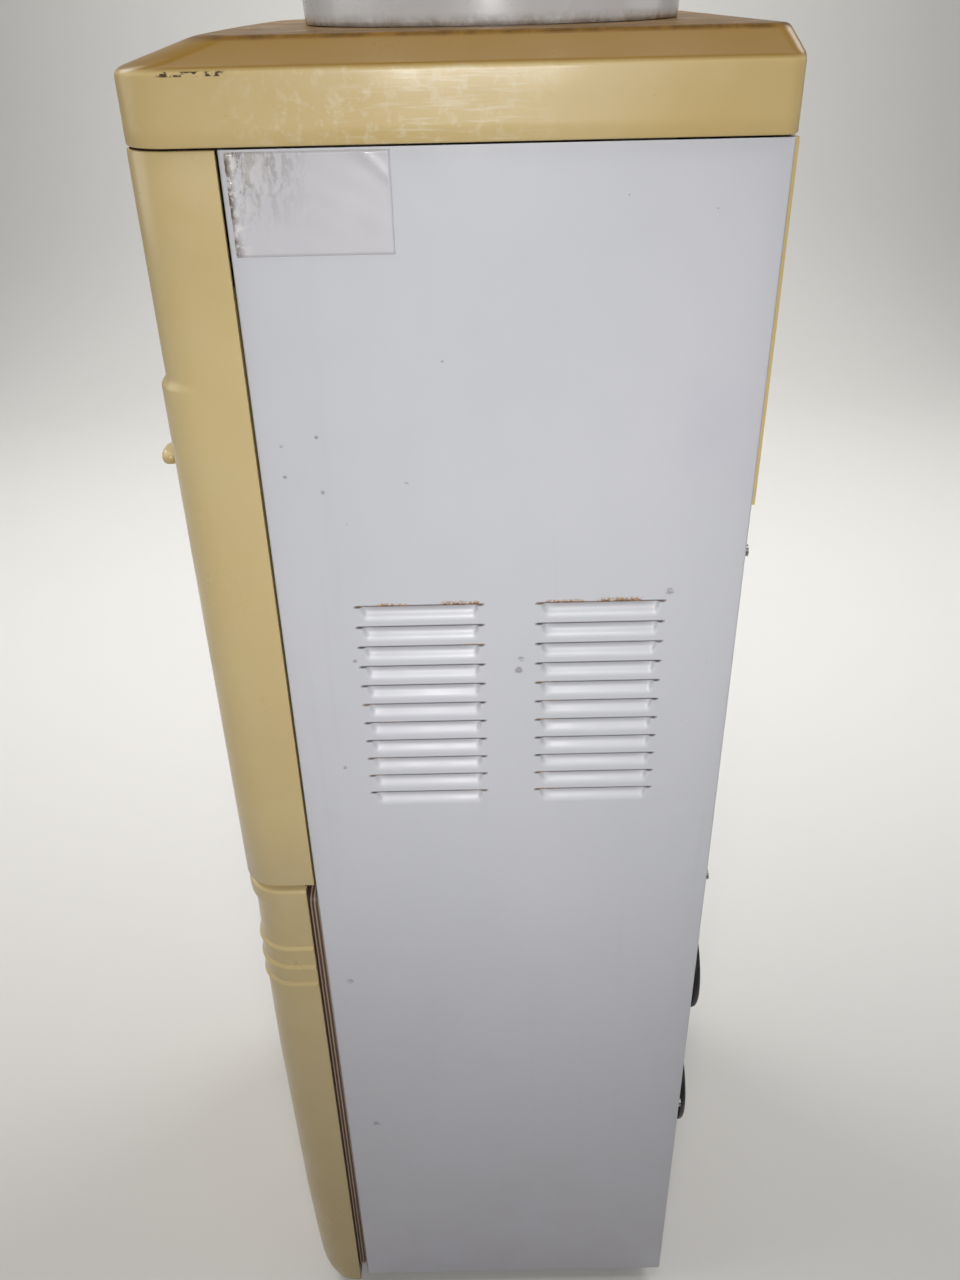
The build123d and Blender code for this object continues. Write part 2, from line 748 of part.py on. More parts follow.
hinge_bush_length = 14.0
hinge_bosses = ((door_bottom + 1, door_bottom + 18), (door_top - 18, door_top - 1))
least_reach = 49.4
insulation_gap = 8.0
door_levels = ((door_bottom, 38.0), (18.0, 43.0), (37.0, 45.0), (127.0, 48.0), (320.0, 50.5), (415.0, 49.4),
               (door_top - lip_height, 48.3))


# ---------------------------------------------------------------- cabinet inside
def liner_form(inset):
    """Stepped tub: deep above the compressor, shallow in front of it."""
    mouth = front_edge - (1 if inset else 0)
    deep = front_edge + liner_deep - inset
    shallow = front_edge + liner_shallow - inset
    low = liner_bottom + inset
    high = liner_top - inset
    step = liner_step_z + inset
    points = [(mouth, low), (shallow, low), (shallow, step), (deep, step), (deep, high), (mouth, high)]
    return side_prism(points, -liner_half + inset, liner_half - inset)


def cabinet_liner():
    rim = block(-gasket_half, gasket_half, front_edge, front_edge + liner_flange, gasket_low, divider_z - 2)
    return rim + liner_form(0) - liner_form(thin_wall)


def cabinet_insulation():
    x = inner_half - seat_gap
    y0 = front_edge + liner_flange + plate + seat_gap
    deep = front_edge + liner_deep + foam
    shallow = front_edge + liner_shallow + foam
    low = base_z + plate + 2
    high = divider_z - 2
    step = liner_step_z - foam
    points = [(y0, low), (shallow, low), (shallow, step), (deep, step), (deep, high), (y0, high)]
    jacket = side_prism(points, -x + plate, x - plate)
    return jacket - liner_form(0)


def wire_shelf():
    """Bent-wire shelf lying on the step of the liner and on its side ribs."""
    r = shelf_wire_radius
    x1 = liner_half - thin_wall - r - 0.4
    y0 = front_edge + 24
    y1 = front_edge + liner_deep - thin_wall - r - 0.6
    z = shelf_level
    shelf = rod_x(-x1, x1, y0, z, r) + rod_x(-x1, x1, y1, z, r)
    shelf += rod_x(-x1, x1, (y0 + y1) / 2, z, r)
    count = 12
    for index in range(count + 1):
        x = -x1 + 2 * x1 * index / count
        rise = r if 0 < index < count else 0
        shelf += rod_y(x, y0, y1, z + rise, r)
    return shelf


def shelf_supports():
    """Ribs on the liner's sides that carry the wire shelf."""
    z1 = shelf_level - shelf_wire_radius - 0.1
    x1 = liner_half - thin_wall
    made = []
    for sign in (-1, 1):
        x0 = sign * (x1 - 8)
        made.append(block(min(x0, sign * x1), max(x0, sign * x1), front_edge + 18, front_edge + liner_deep - thin_wall,
                          z1 - 6, z1))
    return made


def compressor():
    """Welded steel pot with a base plate, lids and two pipe stubs."""
    y = front_edge + compressor_back
    z0 = compressor_bottom
    z1 = z0 + compressor_height
    pot = rod_z(compressor_x, y, z0, z1, compressor_radius)
    pot = fillet(pot.edges().filter_by(GeomType.CIRCLE), 18)
    pot += tube_z(compressor_x, y, z0 + 70, z0 + 76, compressor_radius + 2.5, compressor_radius - 2)
    for sx in (-1, 1):
        for sy in (-1, 1):
            pot += Pos(compressor_x + sx * 53, y + sy * 34, z0 + 1.5) * Box(34, 20, 3)
    pot += Pos(compressor_x, y, z0 + 1.5) * Box(90, 88, 3)
    for x, gy in grommet_places:
        pot -= rod_z(x, gy, z0 - 1, z0 + 4, grommet_neck + running_gap)
    return pot


def compressor_grommets():
    made = []
    for x, y in grommet_places:
        grommet = rod_z(x, y, base_z + plate, compressor_bottom, 8)
        grommet += rod_z(x, y, base_z - 2, compressor_bottom + 5, grommet_neck)
        grommet -= rod_z(x, y, base_z - 3, compressor_bottom + 6, 2.5)
        made.append(grommet)
    return made


def start_relay_box():
    x0 = compressor_x - compressor_radius - 26
    y = front_edge + compressor_back
    box = block(x0, compressor_x - compressor_radius + 2, y - 18, y + 18, 70, 118)
    box -= rod_z(compressor_x, y, 60, 130, compressor_radius + 2.7)
    return box


def condenser_tube():
    """Serpentine of steel tube across the back."""
    x = condenser_half - condenser_tube_radius
    points = [(-condenser_half + 10, condenser_y, condenser_top)]
    side = 1
    for index in range(condenser_passes - 1):
        z = condenser_top - index * condenser_pitch
        points.append((side * x, condenser_y, z))
        points.append((side * x, condenser_y, z - condenser_pitch))
        side = -side
    points.append((-condenser_half + 10, condenser_y, condenser_top - (condenser_passes - 1) * condenser_pitch))
    return tube_along(points, condenser_pitch / 2 - 0.3, condenser_tube_radius)


def condenser_wires():
    """Thin upright wires on both sides of the serpentine."""
    low = condenser_top - (condenser_passes - 1) * condenser_pitch - 8
    high = condenser_top + 8
    offset = condenser_tube_radius + condenser_wire_radius + seat_gap / 2
    count = int(2 * condenser_wire_reach // condenser_wire_pitch) + 1
    first = -(count - 1) * condenser_wire_pitch / 2
    made = []
    for index in range(count):
        for side in (-1, 1):
            made.append(rod_z(first + index * condenser_wire_pitch, condenser_y + side * offset, low, high,
                              condenser_wire_radius))
    return made


def condenser_brackets():
    """Two upright straps that hold the serpentine off the back panel."""
    y1 = condenser_y - condenser_tube_radius - seat_gap / 2
    y0 = y1 - 1.5
    low = condenser_top - (condenser_passes - 1) * condenser_pitch - 8
    high = condenser_top + 12
    made = []
    for sign in (-1, 1):
        x = sign * (condenser_wire_reach + 8)
        strap = block(x - 4, x + 4, y0, y1, low, high)
        for z in (low + 30, high - 12):
            strap += block(x - 4, x + 4, back_panel_out, y1, z, z + 8)
        made.append(strap)
    return made


def filter_drier():
    return (rod_z(capillary_x, riser_y, drier_bottom + 10, drier_bottom + 80, 9)
            + rod_z(capillary_x, riser_y, drier_bottom, drier_bottom + 10, 3.5))


def capillary_pipe():
    """Fine pipe from the drier up to the evaporator."""
    points = [(capillary_x, riser_y, drier_bottom + 80), (capillary_x, riser_y, evaporator_low),
              (capillary_x - 24, riser_y - 26, evaporator_low)]
    return tube_along(points, 12, 1.6)


def suction_pipe():
    """Return pipe from the evaporator down to the compressor."""
    y = front_edge + compressor_back
    points = [(suction_x - 8, riser_y - 22, evaporator_high), (suction_x, riser_y, evaporator_high),
              (suction_x, riser_y, suction_z), (suction_x, y, suction_z),
              (compressor_x + compressor_radius + 0.2, y, suction_z)]
    return tube_along(points, 9, 4)


def discharge_pipe():
    """Pipe from the compressor to the condenser's upper end."""
    x = -condenser_half + 10
    y = front_edge + compressor_back
    riser = x - 20
    points = [(compressor_x - compressor_radius - 0.2, y, discharge_z), (riser, y, discharge_z),
              (riser, condenser_y, discharge_z),
              (riser, condenser_y, condenser_top), (x - 0.2, condenser_y, condenser_top)]
    return tube_along(points, 9, condenser_tube_radius)


def drier_pipe():
    """Pipe from the condenser's lower end round to the drier."""
    x = -condenser_half + 10
    z = condenser_top - (condenser_passes - 1) * condenser_pitch
    run_y = rear_edge - 5.5
    run_z = drier_bottom - 8
    points = [(x - 0.2, condenser_y, z), (x - 11, condenser_y, z), (x - 11, condenser_y, run_z),
              (x - 11, run_y, run_z), (capillary_x, run_y, run_z), (capillary_x, riser_y, run_z),
              (capillary_x, riser_y, drier_bottom)]
    return tube_along(points, 4.5, 2.5)


suction_z = compressor_bottom + compressor_height - 28
discharge_z = compressor_bottom + compressor_height - 38
evaporator_low = cold_tank_bottom + 30.0
evaporator_high = cold_tank_bottom + 70.0


# ---------------------------------------------------------------- tanks
def cold_tank():
    y = collar_y
    tank = tube_z(0, y, cold_tank_bottom, cold_tank_top, cold_tank_radius, cold_tank_radius - tank_wall)
    tank += rod_z(0, y, cold_tank_bottom, cold_tank_bottom + tank_wall, cold_tank_radius)
    tank += tube_z(0, y, cold_tank_top - tank_wall, cold_tank_top, cold_tank_radius, mouth_radius)
    tank += tube_z(0, y, cold_tank_top - tank_wall, throat_bottom - 2, mouth_radius + tank_wall, mouth_radius)
    for x, hose_y in hose_places:
        tank -= rod_z(x, hose_y, cold_tank_bottom - 1, cold_tank_bottom + 3, stub_bore)
        tank += tube_z(x, hose_y, cold_tank_bottom - 10, cold_tank_bottom, hose_radius - 1.6, stub_bore)
    return tank


def tank_seal_ring():
    """Soft ring between the collar's throat and the tank's neck."""
    ring = tube_z(0, collar_y, throat_bottom - 2, throat_bottom + 5, mouth_radius + 4, throat_radius + collar_wall + 0.3)
    return ring


def baffle():
    """Disc that keeps fresh water off the chilled water, on a tube that feeds the hot tank."""
    z = cold_tank_top - 40
    disc = rod_z(0, collar_y, z, z + 2, cold_tank_radius - tank_wall - 0.5)
    for angle in range(0, 360, 45):
        x = 55 * math.cos(math.radians(angle))
        y = 55 * math.sin(math.radians(angle))
        disc -= rod_z(x, collar_y + y, z - 1, z + 3, 5)
    disc += rod_z(0, collar_y, cold_tank_bottom + tank_wall, z + 1, 9)
    disc -= rod_z(0, collar_y, cold_tank_bottom, z + 3, 7)
    return disc


def evaporator_coil():
    """Chilled turns round the cold tank, joined by an upright header with two stubs."""
    turn_radius = cold_tank_radius + coil_tube_radius + seat_gap
    low = evaporator_low - 8
    coil = Pos(0, collar_y, low) * Torus(turn_radius, coil_tube_radius)
    for index in range(1, coil_turns):
        coil += Pos(0, collar_y, low + index * coil_pitch) * Torus(turn_radius, coil_tube_radius)
    angle = math.radians(header_angle)
    hx = turn_radius * math.cos(angle)
    hy = collar_y + turn_radius * math.sin(angle)
    coil += rod_z(hx, hy, low, low + (coil_turns - 1) * coil_pitch, coil_tube_radius - 0.6)
    return coil


def cold_insulation():
    """Foam jacket round the cold tank and its coil."""
    low = tank_shelf_z + plate
    high = throat_bottom - 6
    cavity = cold_tank_radius + 2 * coil_tube_radius + 2 * seat_gap
    jacket = rod_z(0, collar_y, low, high, cold_foam_radius)
    jacket -= rod_z(0, collar_y, cold_tank_bottom, cold_tank_top, cavity)
    jacket -= rod_z(0, collar_y, cold_tank_top - 1, high + 1, mouth_radius + tank_wall + seat_gap)
    for x, y in hose_places:
        jacket -= rod_z(x, y, low - 1, cold_tank_bottom + 1, hose_radius + 0.5)
    return jacket


def hot_tank():
    y = front_edge + hot_tank_back
    x = hot_tank_x
    body = rod_z(x, y, hot_tank_bottom, hot_tank_top, hot_tank_radius)
    body = fillet(body.edges().filter_by(GeomType.CIRCLE), 12)
    body -= fillet(rod_z(x, y, hot_tank_bottom + tank_wall, hot_tank_top - tank_wall,
                         hot_tank_radius - tank_wall).edges().filter_by(GeomType.CIRCLE), 11)
    stub = hose_radius - 1.6
    body += rod_z(hot_out_x, y, hot_tank_top - 0.5, hot_tank_top + 10, stub)
    body += rod_z(hot_feed_x, y, hot_tank_top - 0.5, hot_tank_top + 10, stub)
    body += rod_y(x, y + hot_tank_radius - 2, y + hot_tank_radius + 10, drain_z + 6, stub)
    return body


def hot_tank_stand():
    y = front_edge + hot_tank_back
    low = divider_z + plate
    stand = tube_z(hot_tank_x, y, low, hot_tank_bottom, 36, 34.5)
    stand += tube_z(hot_tank_x, y, low, low + plate, 50, 34.5)
    return stand


def heater_band():
    y = front_edge + hot_tank_back
    low = hot_tank_bottom + band_share * hot_tank_height
    high = low + band_width_share * hot_tank_height
    band = tube_z(hot_tank_x, y, low, high, hot_tank_radius + seat_gap + 2.0, hot_tank_radius + seat_gap)
    clamp_x = hot_tank_x + hot_tank_radius + 6
    band += block(clamp_x - 5, clamp_x + 7, y - 4, y + 4, low + 2, high - 2)
    return band


def thermostats():
    """Two snap-disc thermostats on the hot tank's side."""
    y = front_edge + hot_tank_back
    made = []
    for share in thermostat_shares:
        z = hot_tank_bottom + share * hot_tank_height
        disc = rod_x(hot_tank_x + hot_tank_radius - 2, hot_tank_x + hot_tank_radius + 12, y, z, 8)
        disc -= rod_z(hot_tank_x, y, z - 20, z + 20, hot_tank_radius + seat_gap)
        disc += block(hot_tank_x + hot_tank_radius + 11, hot_tank_x + hot_tank_radius + 14, y - 12, y + 12, z - 4, z + 4)
        made.append(disc)
    return made


def hoses():
    """Silicone hoses from the tanks to the two taps."""
    y_hot = front_edge + hot_tank_back
    y_nut = shank_end + 0.2
    made = []
    cold_x, cold_y = hose_places[0]
    cold = [(cold_x, cold_y, cold_tank_bottom - 1), (cold_x, cold_y, shank_z), (cold_x, y_nut + 0.4, shank_z)]
    made.append(tube_along(cold, 12, hose_radius, hose_radius - 1.5))
    hot = [(hot_out_x, y_hot, hot_tank_top + 0.3), (hot_out_x, y_hot, shank_z), (hot_out_x, y_nut + 0.4, shank_z)]
    made.append(tube_along(hot, 12, hose_radius, hose_radius - 1.5))
    feed_x, feed_y = hose_places[1]
    feed = [(feed_x, feed_y, cold_tank_bottom - 1), (feed_x, feed_y, tank_shelf_z - 31), (hot_feed_x, y_hot, tank_shelf_z - 46),
            (hot_feed_x, y_hot, hot_tank_top + 0.3)]
    made.append(tube_along(feed, 8, hose_radius, hose_radius - 1.5))
    return made


def drain_pipe():
    """Drain of the hot tank, through the back panel."""
    y0 = front_edge + hot_tank_back + hot_tank_radius + 10.2
    return rod_y(hot_tank_x, y0, rear_edge + 6, drain_z, drain_radius) - rod_y(
        hot_tank_x, y0 - 1, rear_edge + 7, drain_z, drain_radius - 2)


def drain_cap():
    y1 = rear_edge + rear_overhang - 1.5
    cap = rod_y(hot_tank_x, back_panel_out + 0.3, y1, drain_z, 10)
    cap -= rod_y(hot_tank_x, back_panel_out - 1, rear_edge + 6.2, drain_z, drain_radius + running_gap)
    grips = []
    for angle in range(0, 360, 30):
        x = hot_tank_x + 10.4 * math.cos(math.radians(angle))
        z = drain_z + 10.4 * math.sin(math.radians(angle))
        grips.append(rod_y(x, back_panel_out, y1 + 1, z, 1.2))
    return cap - grips


band_share = 0.17
band_width_share = 0.182
thermostat_shares = (0.50, 0.74)
mouth_radius = 58.0
stub_bore = 2.0
header_angle = 60.0
hose_places = ((tap_offset, collar_y - 30.0), (-20.0, collar_y + 20.0))
hot_out_x = -tap_offset
hot_feed_x = hot_tank_x + 26.0


# ---------------------------------------------------------------- taps
def tap_body(x):
    """Valve barrel with a spout, a threaded shank through the alcove's wall and two lever ears."""
    body = rod_z(x, tap_y, tap_bottom, tap_top, tap_barrel_radius)
    body = fillet(body.edges().filter_by(GeomType.CIRCLE).sort_by(Axis.Z)[0], 5)
    body += rod_z(x, tap_y, tap_bottom - spout_length, tap_bottom + 1, spout_radius)
    body += rod_y(x, tap_y, shank_end, shank_z, shank_radius)
    body += rod_y(x, alcove_wall_y - 4, alcove_wall_y, shank_z, shank_radius + 6)
    body += rod_z(x, tap_y, tap_top - 5, tap_top, tap_barrel_radius + 1.2)
    body -= rod_z(x, tap_y, tap_bottom, tap_top - 5, valve_bore)
    body -= rod_z(x, tap_y, tap_bottom - spout_length - 1, tap_bottom + 1, seat_bore)
    body -= rod_y(x, tap_y, shank_end + 1, shank_z, 4)
    body -= rod_z(x, tap_y, tap_top - 6, tap_top + 1, stem_radius + running_gap)
    for sign in (-1, 1):
        ear = block(min(x + sign * 8, x + sign * 11), max(x + sign * 8, x + sign * 11),
                    pivot_y - 5, pivot_y + 5, tap_top - 2, pivot_z)
        ear += rod_x(min(x + sign * 8, x + sign * 11), max(x + sign * 8, x + sign * 11), pivot_y, pivot_z, 5)
        body += ear
    body -= rod_x(x - 12, x + 12, pivot_y, pivot_z, lever_pin_radius)
    return body


def tap_stem(x):
    """Valve plug and stem; its head is lifted by the lever's fork."""
    stem = rod_z(x, tap_y, tap_bottom + running_gap, tap_bottom + 6, valve_bore - 0.3)
    stem += rod_z(x, tap_y, tap_bottom + 5, head_z + 3, stem_radius)
    stem += rod_z(x, tap_y, head_z, head_z + 3, 6)
    return stem


def tap_lever(x):
    """Press lever: a boss on the pin, a fork under the stem's head and a drooping arm with a round tip."""
    width = 7.8
    lever = rod_x(x - width, x + width, pivot_y, pivot_z, 5)
    fork_top = head_z - 0.3
    fork = block(x - width, x + width, pivot_y, tap_y + 6, pivot_z - 2, fork_top)
    fork -= block(x - stem_radius - 0.8, x + stem_radius + 0.8, tap_y - 4.5, tap_y + 7, pivot_z - 3, fork_top + 1)
    lever += fork
    tip_y = front_edge - front_overhang
    neck = lever_tip_z + 1.5
    arm = [(pivot_y, pivot_z + 2.5), (pivot_y - 9, pivot_z + 2.5), (tip_y + 9, neck + 2.5), (tip_y + 9, neck - 2),
           (pivot_y - 8, pivot_z - 2), (pivot_y, pivot_z - 3)]
    lever += side_prism(arm, x - width, x + width)
    bulb = Pos(x, tip_y + lever_tip_height / 2, lever_tip_z) * Box(lever_tip_width, lever_tip_height, lever_tip_height)
    bulb = fillet(bulb.edges(), 6)
    lever += bulb
    lever -= rod_x(x - width - 1, x + width + 1, pivot_y, pivot_z, lever_pin_radius + running_gap)
    return lever


def tap_pins():
    return [rod_x(x - 11, x + 11, pivot_y, pivot_z, lever_pin_radius) for x in (-tap_offset, tap_offset)]


def tap_nuts():
    """Hexagon nuts that clamp the taps to the alcove's back wall."""
    made = []
    y0 = alcove_wall_y + thin_wall
    for x in (-tap_offset, tap_offset):
        hexagon = Plane(origin=(x, y0, shank_z), z_dir=(0, 1, 0)) * RegularPolygon(13.5, 6)
        nut = extrude(hexagon, amount=8)
        made.append(nut - rod_y(x, y0 - 1, y0 + 9, shank_z, shank_radius))
    return made


shank_end = alcove_wall_y + thin_wall + 20.0
valve_bore = 5.0
seat_bore = 3.5
stem_radius = 2.5
head_z = pivot_z + 4.0


# ---------------------------------------------------------------- switches and power inlet
def switch_bodies():
    """Two snap-in housings, one above the other, open to the rear."""
    made = []
    for level in switch_levels:
        body = block(switch_x - switch_half_x, switch_x + switch_half_x, back_panel_out - 22, back_panel_out + 2,
                     level - switch_half_z, level + switch_half_z)
        body += block(switch_x - switch_half_x - 2, switch_x + switch_half_x + 2, back_panel_out, back_panel_out + 2,
                      level - switch_half_z - 2, level + switch_half_z + 2)
        body -= block(switch_x - rocker_half_x - 0.3, switch_x + rocker_half_x + 0.3, back_panel_out - 16,
                      back_panel_out + 3, level - rocker_half_z - 1.2, level + rocker_half_z + 1.2)
        body -= rod_x(switch_x - rocker_half_x - 1.8, switch_x + rocker_half_x + 1.8, rocker_y, level, 1.4 + running_gap)
        made.append(body)
    return made


def switch_rocker(level):
    """Rocker with two sloping faces, resting pressed at its lower end."""
    y0 = rocker_y - 5
    y1 = back_panel_out + 3.5
    points = [(y0, level - 6), (y0, level + 6), (y1 - 2.5, level + rocker_half_z), (y1, level + rocker_half_z),
              (y1 - 2.2, level), (y1, level - rocker_half_z), (y1 - 2.5, level - rocker_half_z)]
    rocker = side_prism(points, switch_x - rocker_half_x, switch_x + rocker_half_x)
    rocker += rod_x(switch_x - rocker_half_x - 1.5, switch_x + rocker_half_x + 1.5, rocker_y, level, 1.4)
    return rocker.rotate(Axis((switch_x, rocker_y, level), (1, 0, 0)), rocker_rest_angle)


def power_gland():
    """Cord gland in the base pan's rear lip."""
    y1 = back_panel_out - sheet
    gland = rod_y(gland_x, y1 - 9, y1 + 9, gland_z, gland_neck)
    gland += rod_y(gland_x, y1 + 0.1, y1 + 4, gland_z, gland_neck + 2.5)
    gland += rod_y(gland_x, y1 - plate - 4, y1 - plate - 0.1, gland_z, gland_neck + 2)
    return gland - rod_y(gland_x, y1 - 10, y1 + 10, gland_z, 3.3)


def side_label():
    """Blank film sticker on the right-hand side panel."""
    y0 = front_edge + 3.0
    film = 0.15
    return block(half, half + film, y0, y0 + 74.0, roof_z - 46.0, roof_z - 1.0)


rocker_half_x = 8.0
rocker_half_z = 11.5
rocker_y = back_panel_out - 5.0
rocker_rest_angle = 8.0


# ---------------------------------------------------------------- write every node
right_side = side_panel()
save("side_panel_right", right_side)
save("side_panel_left", mirrored(right_side))
save("base_pan", base_pan())
save("feet", *feet())
save("front_rail", front_rail())
save("divider_plate", divider_plate())
save("tank_shelf", tank_shelf())
save("back_panel", back_panel())
save("rear_upper_cover", rear_upper_cover())
save("back_screws", *back_screws())

save("top_cover", top_cover())
save("front_panel", front_panel())
save("alcove_liner", alcove_liner())
save("indicator_lamps", *indicator_lamps())
save("drip_tray", drip_tray())
save("drip_grille", drip_grille())
save("bottle_collar", bottle_collar())
save("bottle_probe", bottle_probe())

save("door_shell", door_shell())
save("door_liner", door_liner())
save("door_insulation", door_insulation())
save("door_gasket", door_gasket())
save("hinge_bracket_top", hinge_bracket_top())
save("hinge_bracket_bottom", hinge_bracket_bottom())
save("hinge_pins", *hinge_pins())
save("hinge_bushes", *hinge_bushes())

save("cabinet_liner", cabinet_liner() + shelf_supports())
save("cabinet_insulation", cabinet_insulation())
save("wire_shelf", wire_shelf())
save("compressor", compressor())
save("compressor_grommets", *compressor_grommets())
save("start_relay_box", start_relay_box())
save("condenser_tube", condenser_tube())
save("condenser_wires", *condenser_wires())
save("condenser_brackets", *condenser_brackets())
save("filter_drier", filter_drier())
save("refrigerant_pipes", capillary_pipe(), suction_pipe(), discharge_pipe(), drier_pipe())

save("cold_tank", cold_tank())
save("tank_seal_ring", tank_seal_ring())
save("baffle", baffle())
save("evaporator_coil", evaporator_coil())
save("cold_insulation", cold_insulation())
save("hot_tank", hot_tank() + hot_tank_stand())
save("heater_band", heater_band())
save("thermostats", *thermostats())
save("hoses", *hoses())
save("drain_pipe", drain_pipe())
save("drain_cap", drain_cap())

for side, name in ((-1, "hot"), (1, "cold")):
    save(f"{name}_tap_body", tap_body(side * tap_offset))
    save(f"{name}_tap_stem", tap_stem(side * tap_offset))
    save(f"{name}_tap_lever", tap_lever(side * tap_offset))
save("tap_hardware", *tap_pins(), *tap_nuts())

save("switch_bodies", *switch_bodies())
for level, name in zip(switch_levels, ("cooling", "heating")):
    save(f"{name}_switch_rocker", switch_rocker(level))
save("power_gland", power_gland())
save("side_label", side_label())
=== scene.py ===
"""Looks of a free-standing water dispenser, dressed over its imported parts. Metres."""

import json
import math
import random

import bmesh
import bpy
from mathutils import Matrix, Vector


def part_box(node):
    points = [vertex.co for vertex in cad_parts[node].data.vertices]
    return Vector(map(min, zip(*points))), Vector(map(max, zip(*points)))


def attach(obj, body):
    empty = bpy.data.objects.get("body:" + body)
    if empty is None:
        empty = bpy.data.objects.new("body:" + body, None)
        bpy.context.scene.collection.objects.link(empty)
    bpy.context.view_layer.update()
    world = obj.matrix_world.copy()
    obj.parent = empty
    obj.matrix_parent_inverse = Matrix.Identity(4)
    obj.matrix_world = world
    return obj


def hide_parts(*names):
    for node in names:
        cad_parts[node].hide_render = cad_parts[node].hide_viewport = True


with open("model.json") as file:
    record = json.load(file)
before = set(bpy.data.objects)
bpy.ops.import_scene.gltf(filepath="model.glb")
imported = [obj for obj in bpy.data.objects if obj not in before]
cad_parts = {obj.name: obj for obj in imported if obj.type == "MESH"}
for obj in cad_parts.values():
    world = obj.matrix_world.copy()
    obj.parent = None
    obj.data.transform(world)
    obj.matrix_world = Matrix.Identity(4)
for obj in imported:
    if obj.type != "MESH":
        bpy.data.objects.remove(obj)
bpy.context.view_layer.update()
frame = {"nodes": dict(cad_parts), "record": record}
MM = 0.001

# ---- datum faces of the cabinet
panel_low, panel_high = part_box("side_panel_right")
cover_low, cover_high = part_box("top_cover")
door_low, door_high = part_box("door_shell")
front_low, front_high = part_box("front_panel")
collar_low, collar_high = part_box("bottle_collar")
alcove_low, alcove_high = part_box("alcove_liner")
gasket_low, gasket_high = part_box("door_gasket")
label_low, label_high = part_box("side_label")
EDGE = panel_low.y
REAR = panel_high.y
FACE = panel_high.x
BASE = panel_low.z
ROOF = panel_high.z
CORNER = 24 * MM
CORNER_TURN = math.radians(87)
BOW = 4 * MM
WALL = 2.5 * MM
COLLAR_Y = (collar_low.y + collar_high.y) / 2


# ---- mesh helpers
def mesh_object(name, points, faces):
    """A smooth object in the scene from points and faces."""
    mesh = bpy.data.meshes.new(name)
    mesh.from_pydata([tuple(p) for p in points], [], faces)
    mesh.update()
    obj = bpy.data.objects.new(name, mesh)
    bpy.context.collection.objects.link(obj)
    for polygon in mesh.polygons:
        polygon.use_smooth = True
    return obj


def clean(obj, distance=0.02 * MM):
    """Merges doubles and points every face outwards."""
    work = bmesh.new()
    work.from_mesh(obj.data)
    bmesh.ops.remove_doubles(work, verts=work.verts, dist=distance)
    bmesh.ops.recalc_face_normals(work, faces=work.faces)
    work.to_mesh(obj.data)
    work.free()
    return obj


def turn_out(obj, axis, way):
    """Flips the faces where, all in all, they look the wrong way along an axis."""
    if way * sum(face.normal[axis] * face.area for face in obj.data.polygons) < 0:
        obj.data.flip_normals()


def settle(obj):
    """Replaces an object's mesh by what its modifiers make of it."""
    graph = bpy.context.evaluated_depsgraph_get()
    mesh = bpy.data.meshes.new_from_object(obj.evaluated_get(graph))
    obj.modifiers.clear()
    old = obj.data
    obj.data = mesh
    if old.users == 0:
        bpy.data.meshes.remove(old)
    return obj


def shell(obj, thickness):
    """Gives a surface its wall thickness, inwards."""
    wall = obj.modifiers.new("wall", "SOLIDIFY")
    wall.thickness = thickness
    wall.use_even_offset = True
    return settle(obj)


def soften(obj, width, segments=2, angle=35):
    """Rounds the edges that turn by more than an angle."""
    edge = obj.modifiers.new("edge", "BEVEL")
    edge.width = width
    edge.segments = segments
    edge.angle_limit = math.radians(angle)
    return settle(obj)


def shade_by_angle(obj, angle):
    """Smooth shading, but for edges that turn by more than an angle."""
    work = bmesh.new()
    work.from_mesh(obj.data)
    limit = math.radians(angle)
    for face in work.faces:
        face.smooth = True
    for edge in work.edges:
        if len(edge.link_faces) == 2:
            edge.smooth = edge.calc_face_angle(0.0) < limit
    work.to_mesh(obj.data)
    work.free()
    return obj


def bridge(rings, closed=True, capped=False):
    """Points and faces of a skin over rings with equal counts."""
    count = len(rings[0])
    points = [p for ring in rings for p in ring]
    faces = []
    for low in range(0, len(points) - count, count):
        for index in range(count if closed else count - 1):
            after = (index + 1) % count
            faces.append((low + index, low + after, low + count + after, low + count + index))
    if capped:
        faces.append(tuple(range(count))[::-1])
        faces.append(tuple(range(len(points) - count, len(points))))
    return points, faces


def skin(name, rings, closed=True, capped=False):
    """An object over rings with equal counts."""
    return clean(mesh_object(name, *bridge(rings, closed, capped)))


def circle(radius, steps):
    """Points of a circle round the origin."""
    turns = [2 * math.pi * step / steps for step in range(steps)]
    return [(radius * math.cos(turn), radius * math.sin(turn)) for turn in turns]


def rounded_plan(half, low, high, radius, steps):
    """Points of a rounded rectangle in X and Z, centred on X."""
    corners = ((half - radius, high - radius), (radius - half, high - radius),
               (radius - half, low + radius), (half - radius, low + radius))
    plan = []
    for quarter, (x, z) in enumerate(corners):
        turns = [math.pi / 2 * (quarter + step / steps) for step in range(steps + 1)]
        plan += [(x + radius * math.cos(turn), z + radius * math.sin(turn)) for turn in turns]
    return plan


def rounded(profile, steps=6):
    """Rounds the corners of an (a, b, radius) polyline, but for its two ends."""
    made = []
    for index, (a, b, size) in enumerate(profile):
        here = Vector((a, b))
        if size == 0 or index in (0, len(profile) - 1):
            made.append(here)
            continue
        back = Vector(profile[index - 1][:2]) - here
        ahead = Vector(profile[index + 1][:2]) - here
        reach = min(size, back.length * 0.45, ahead.length * 0.45)
        start = here + back.normalized() * reach
        end = here + ahead.normalized() * reach
        for step in range(steps + 1):
            t = step / steps
            made.append(start * (1 - t) ** 2 + here * 2 * t * (1 - t) + end * t ** 2)
    return made


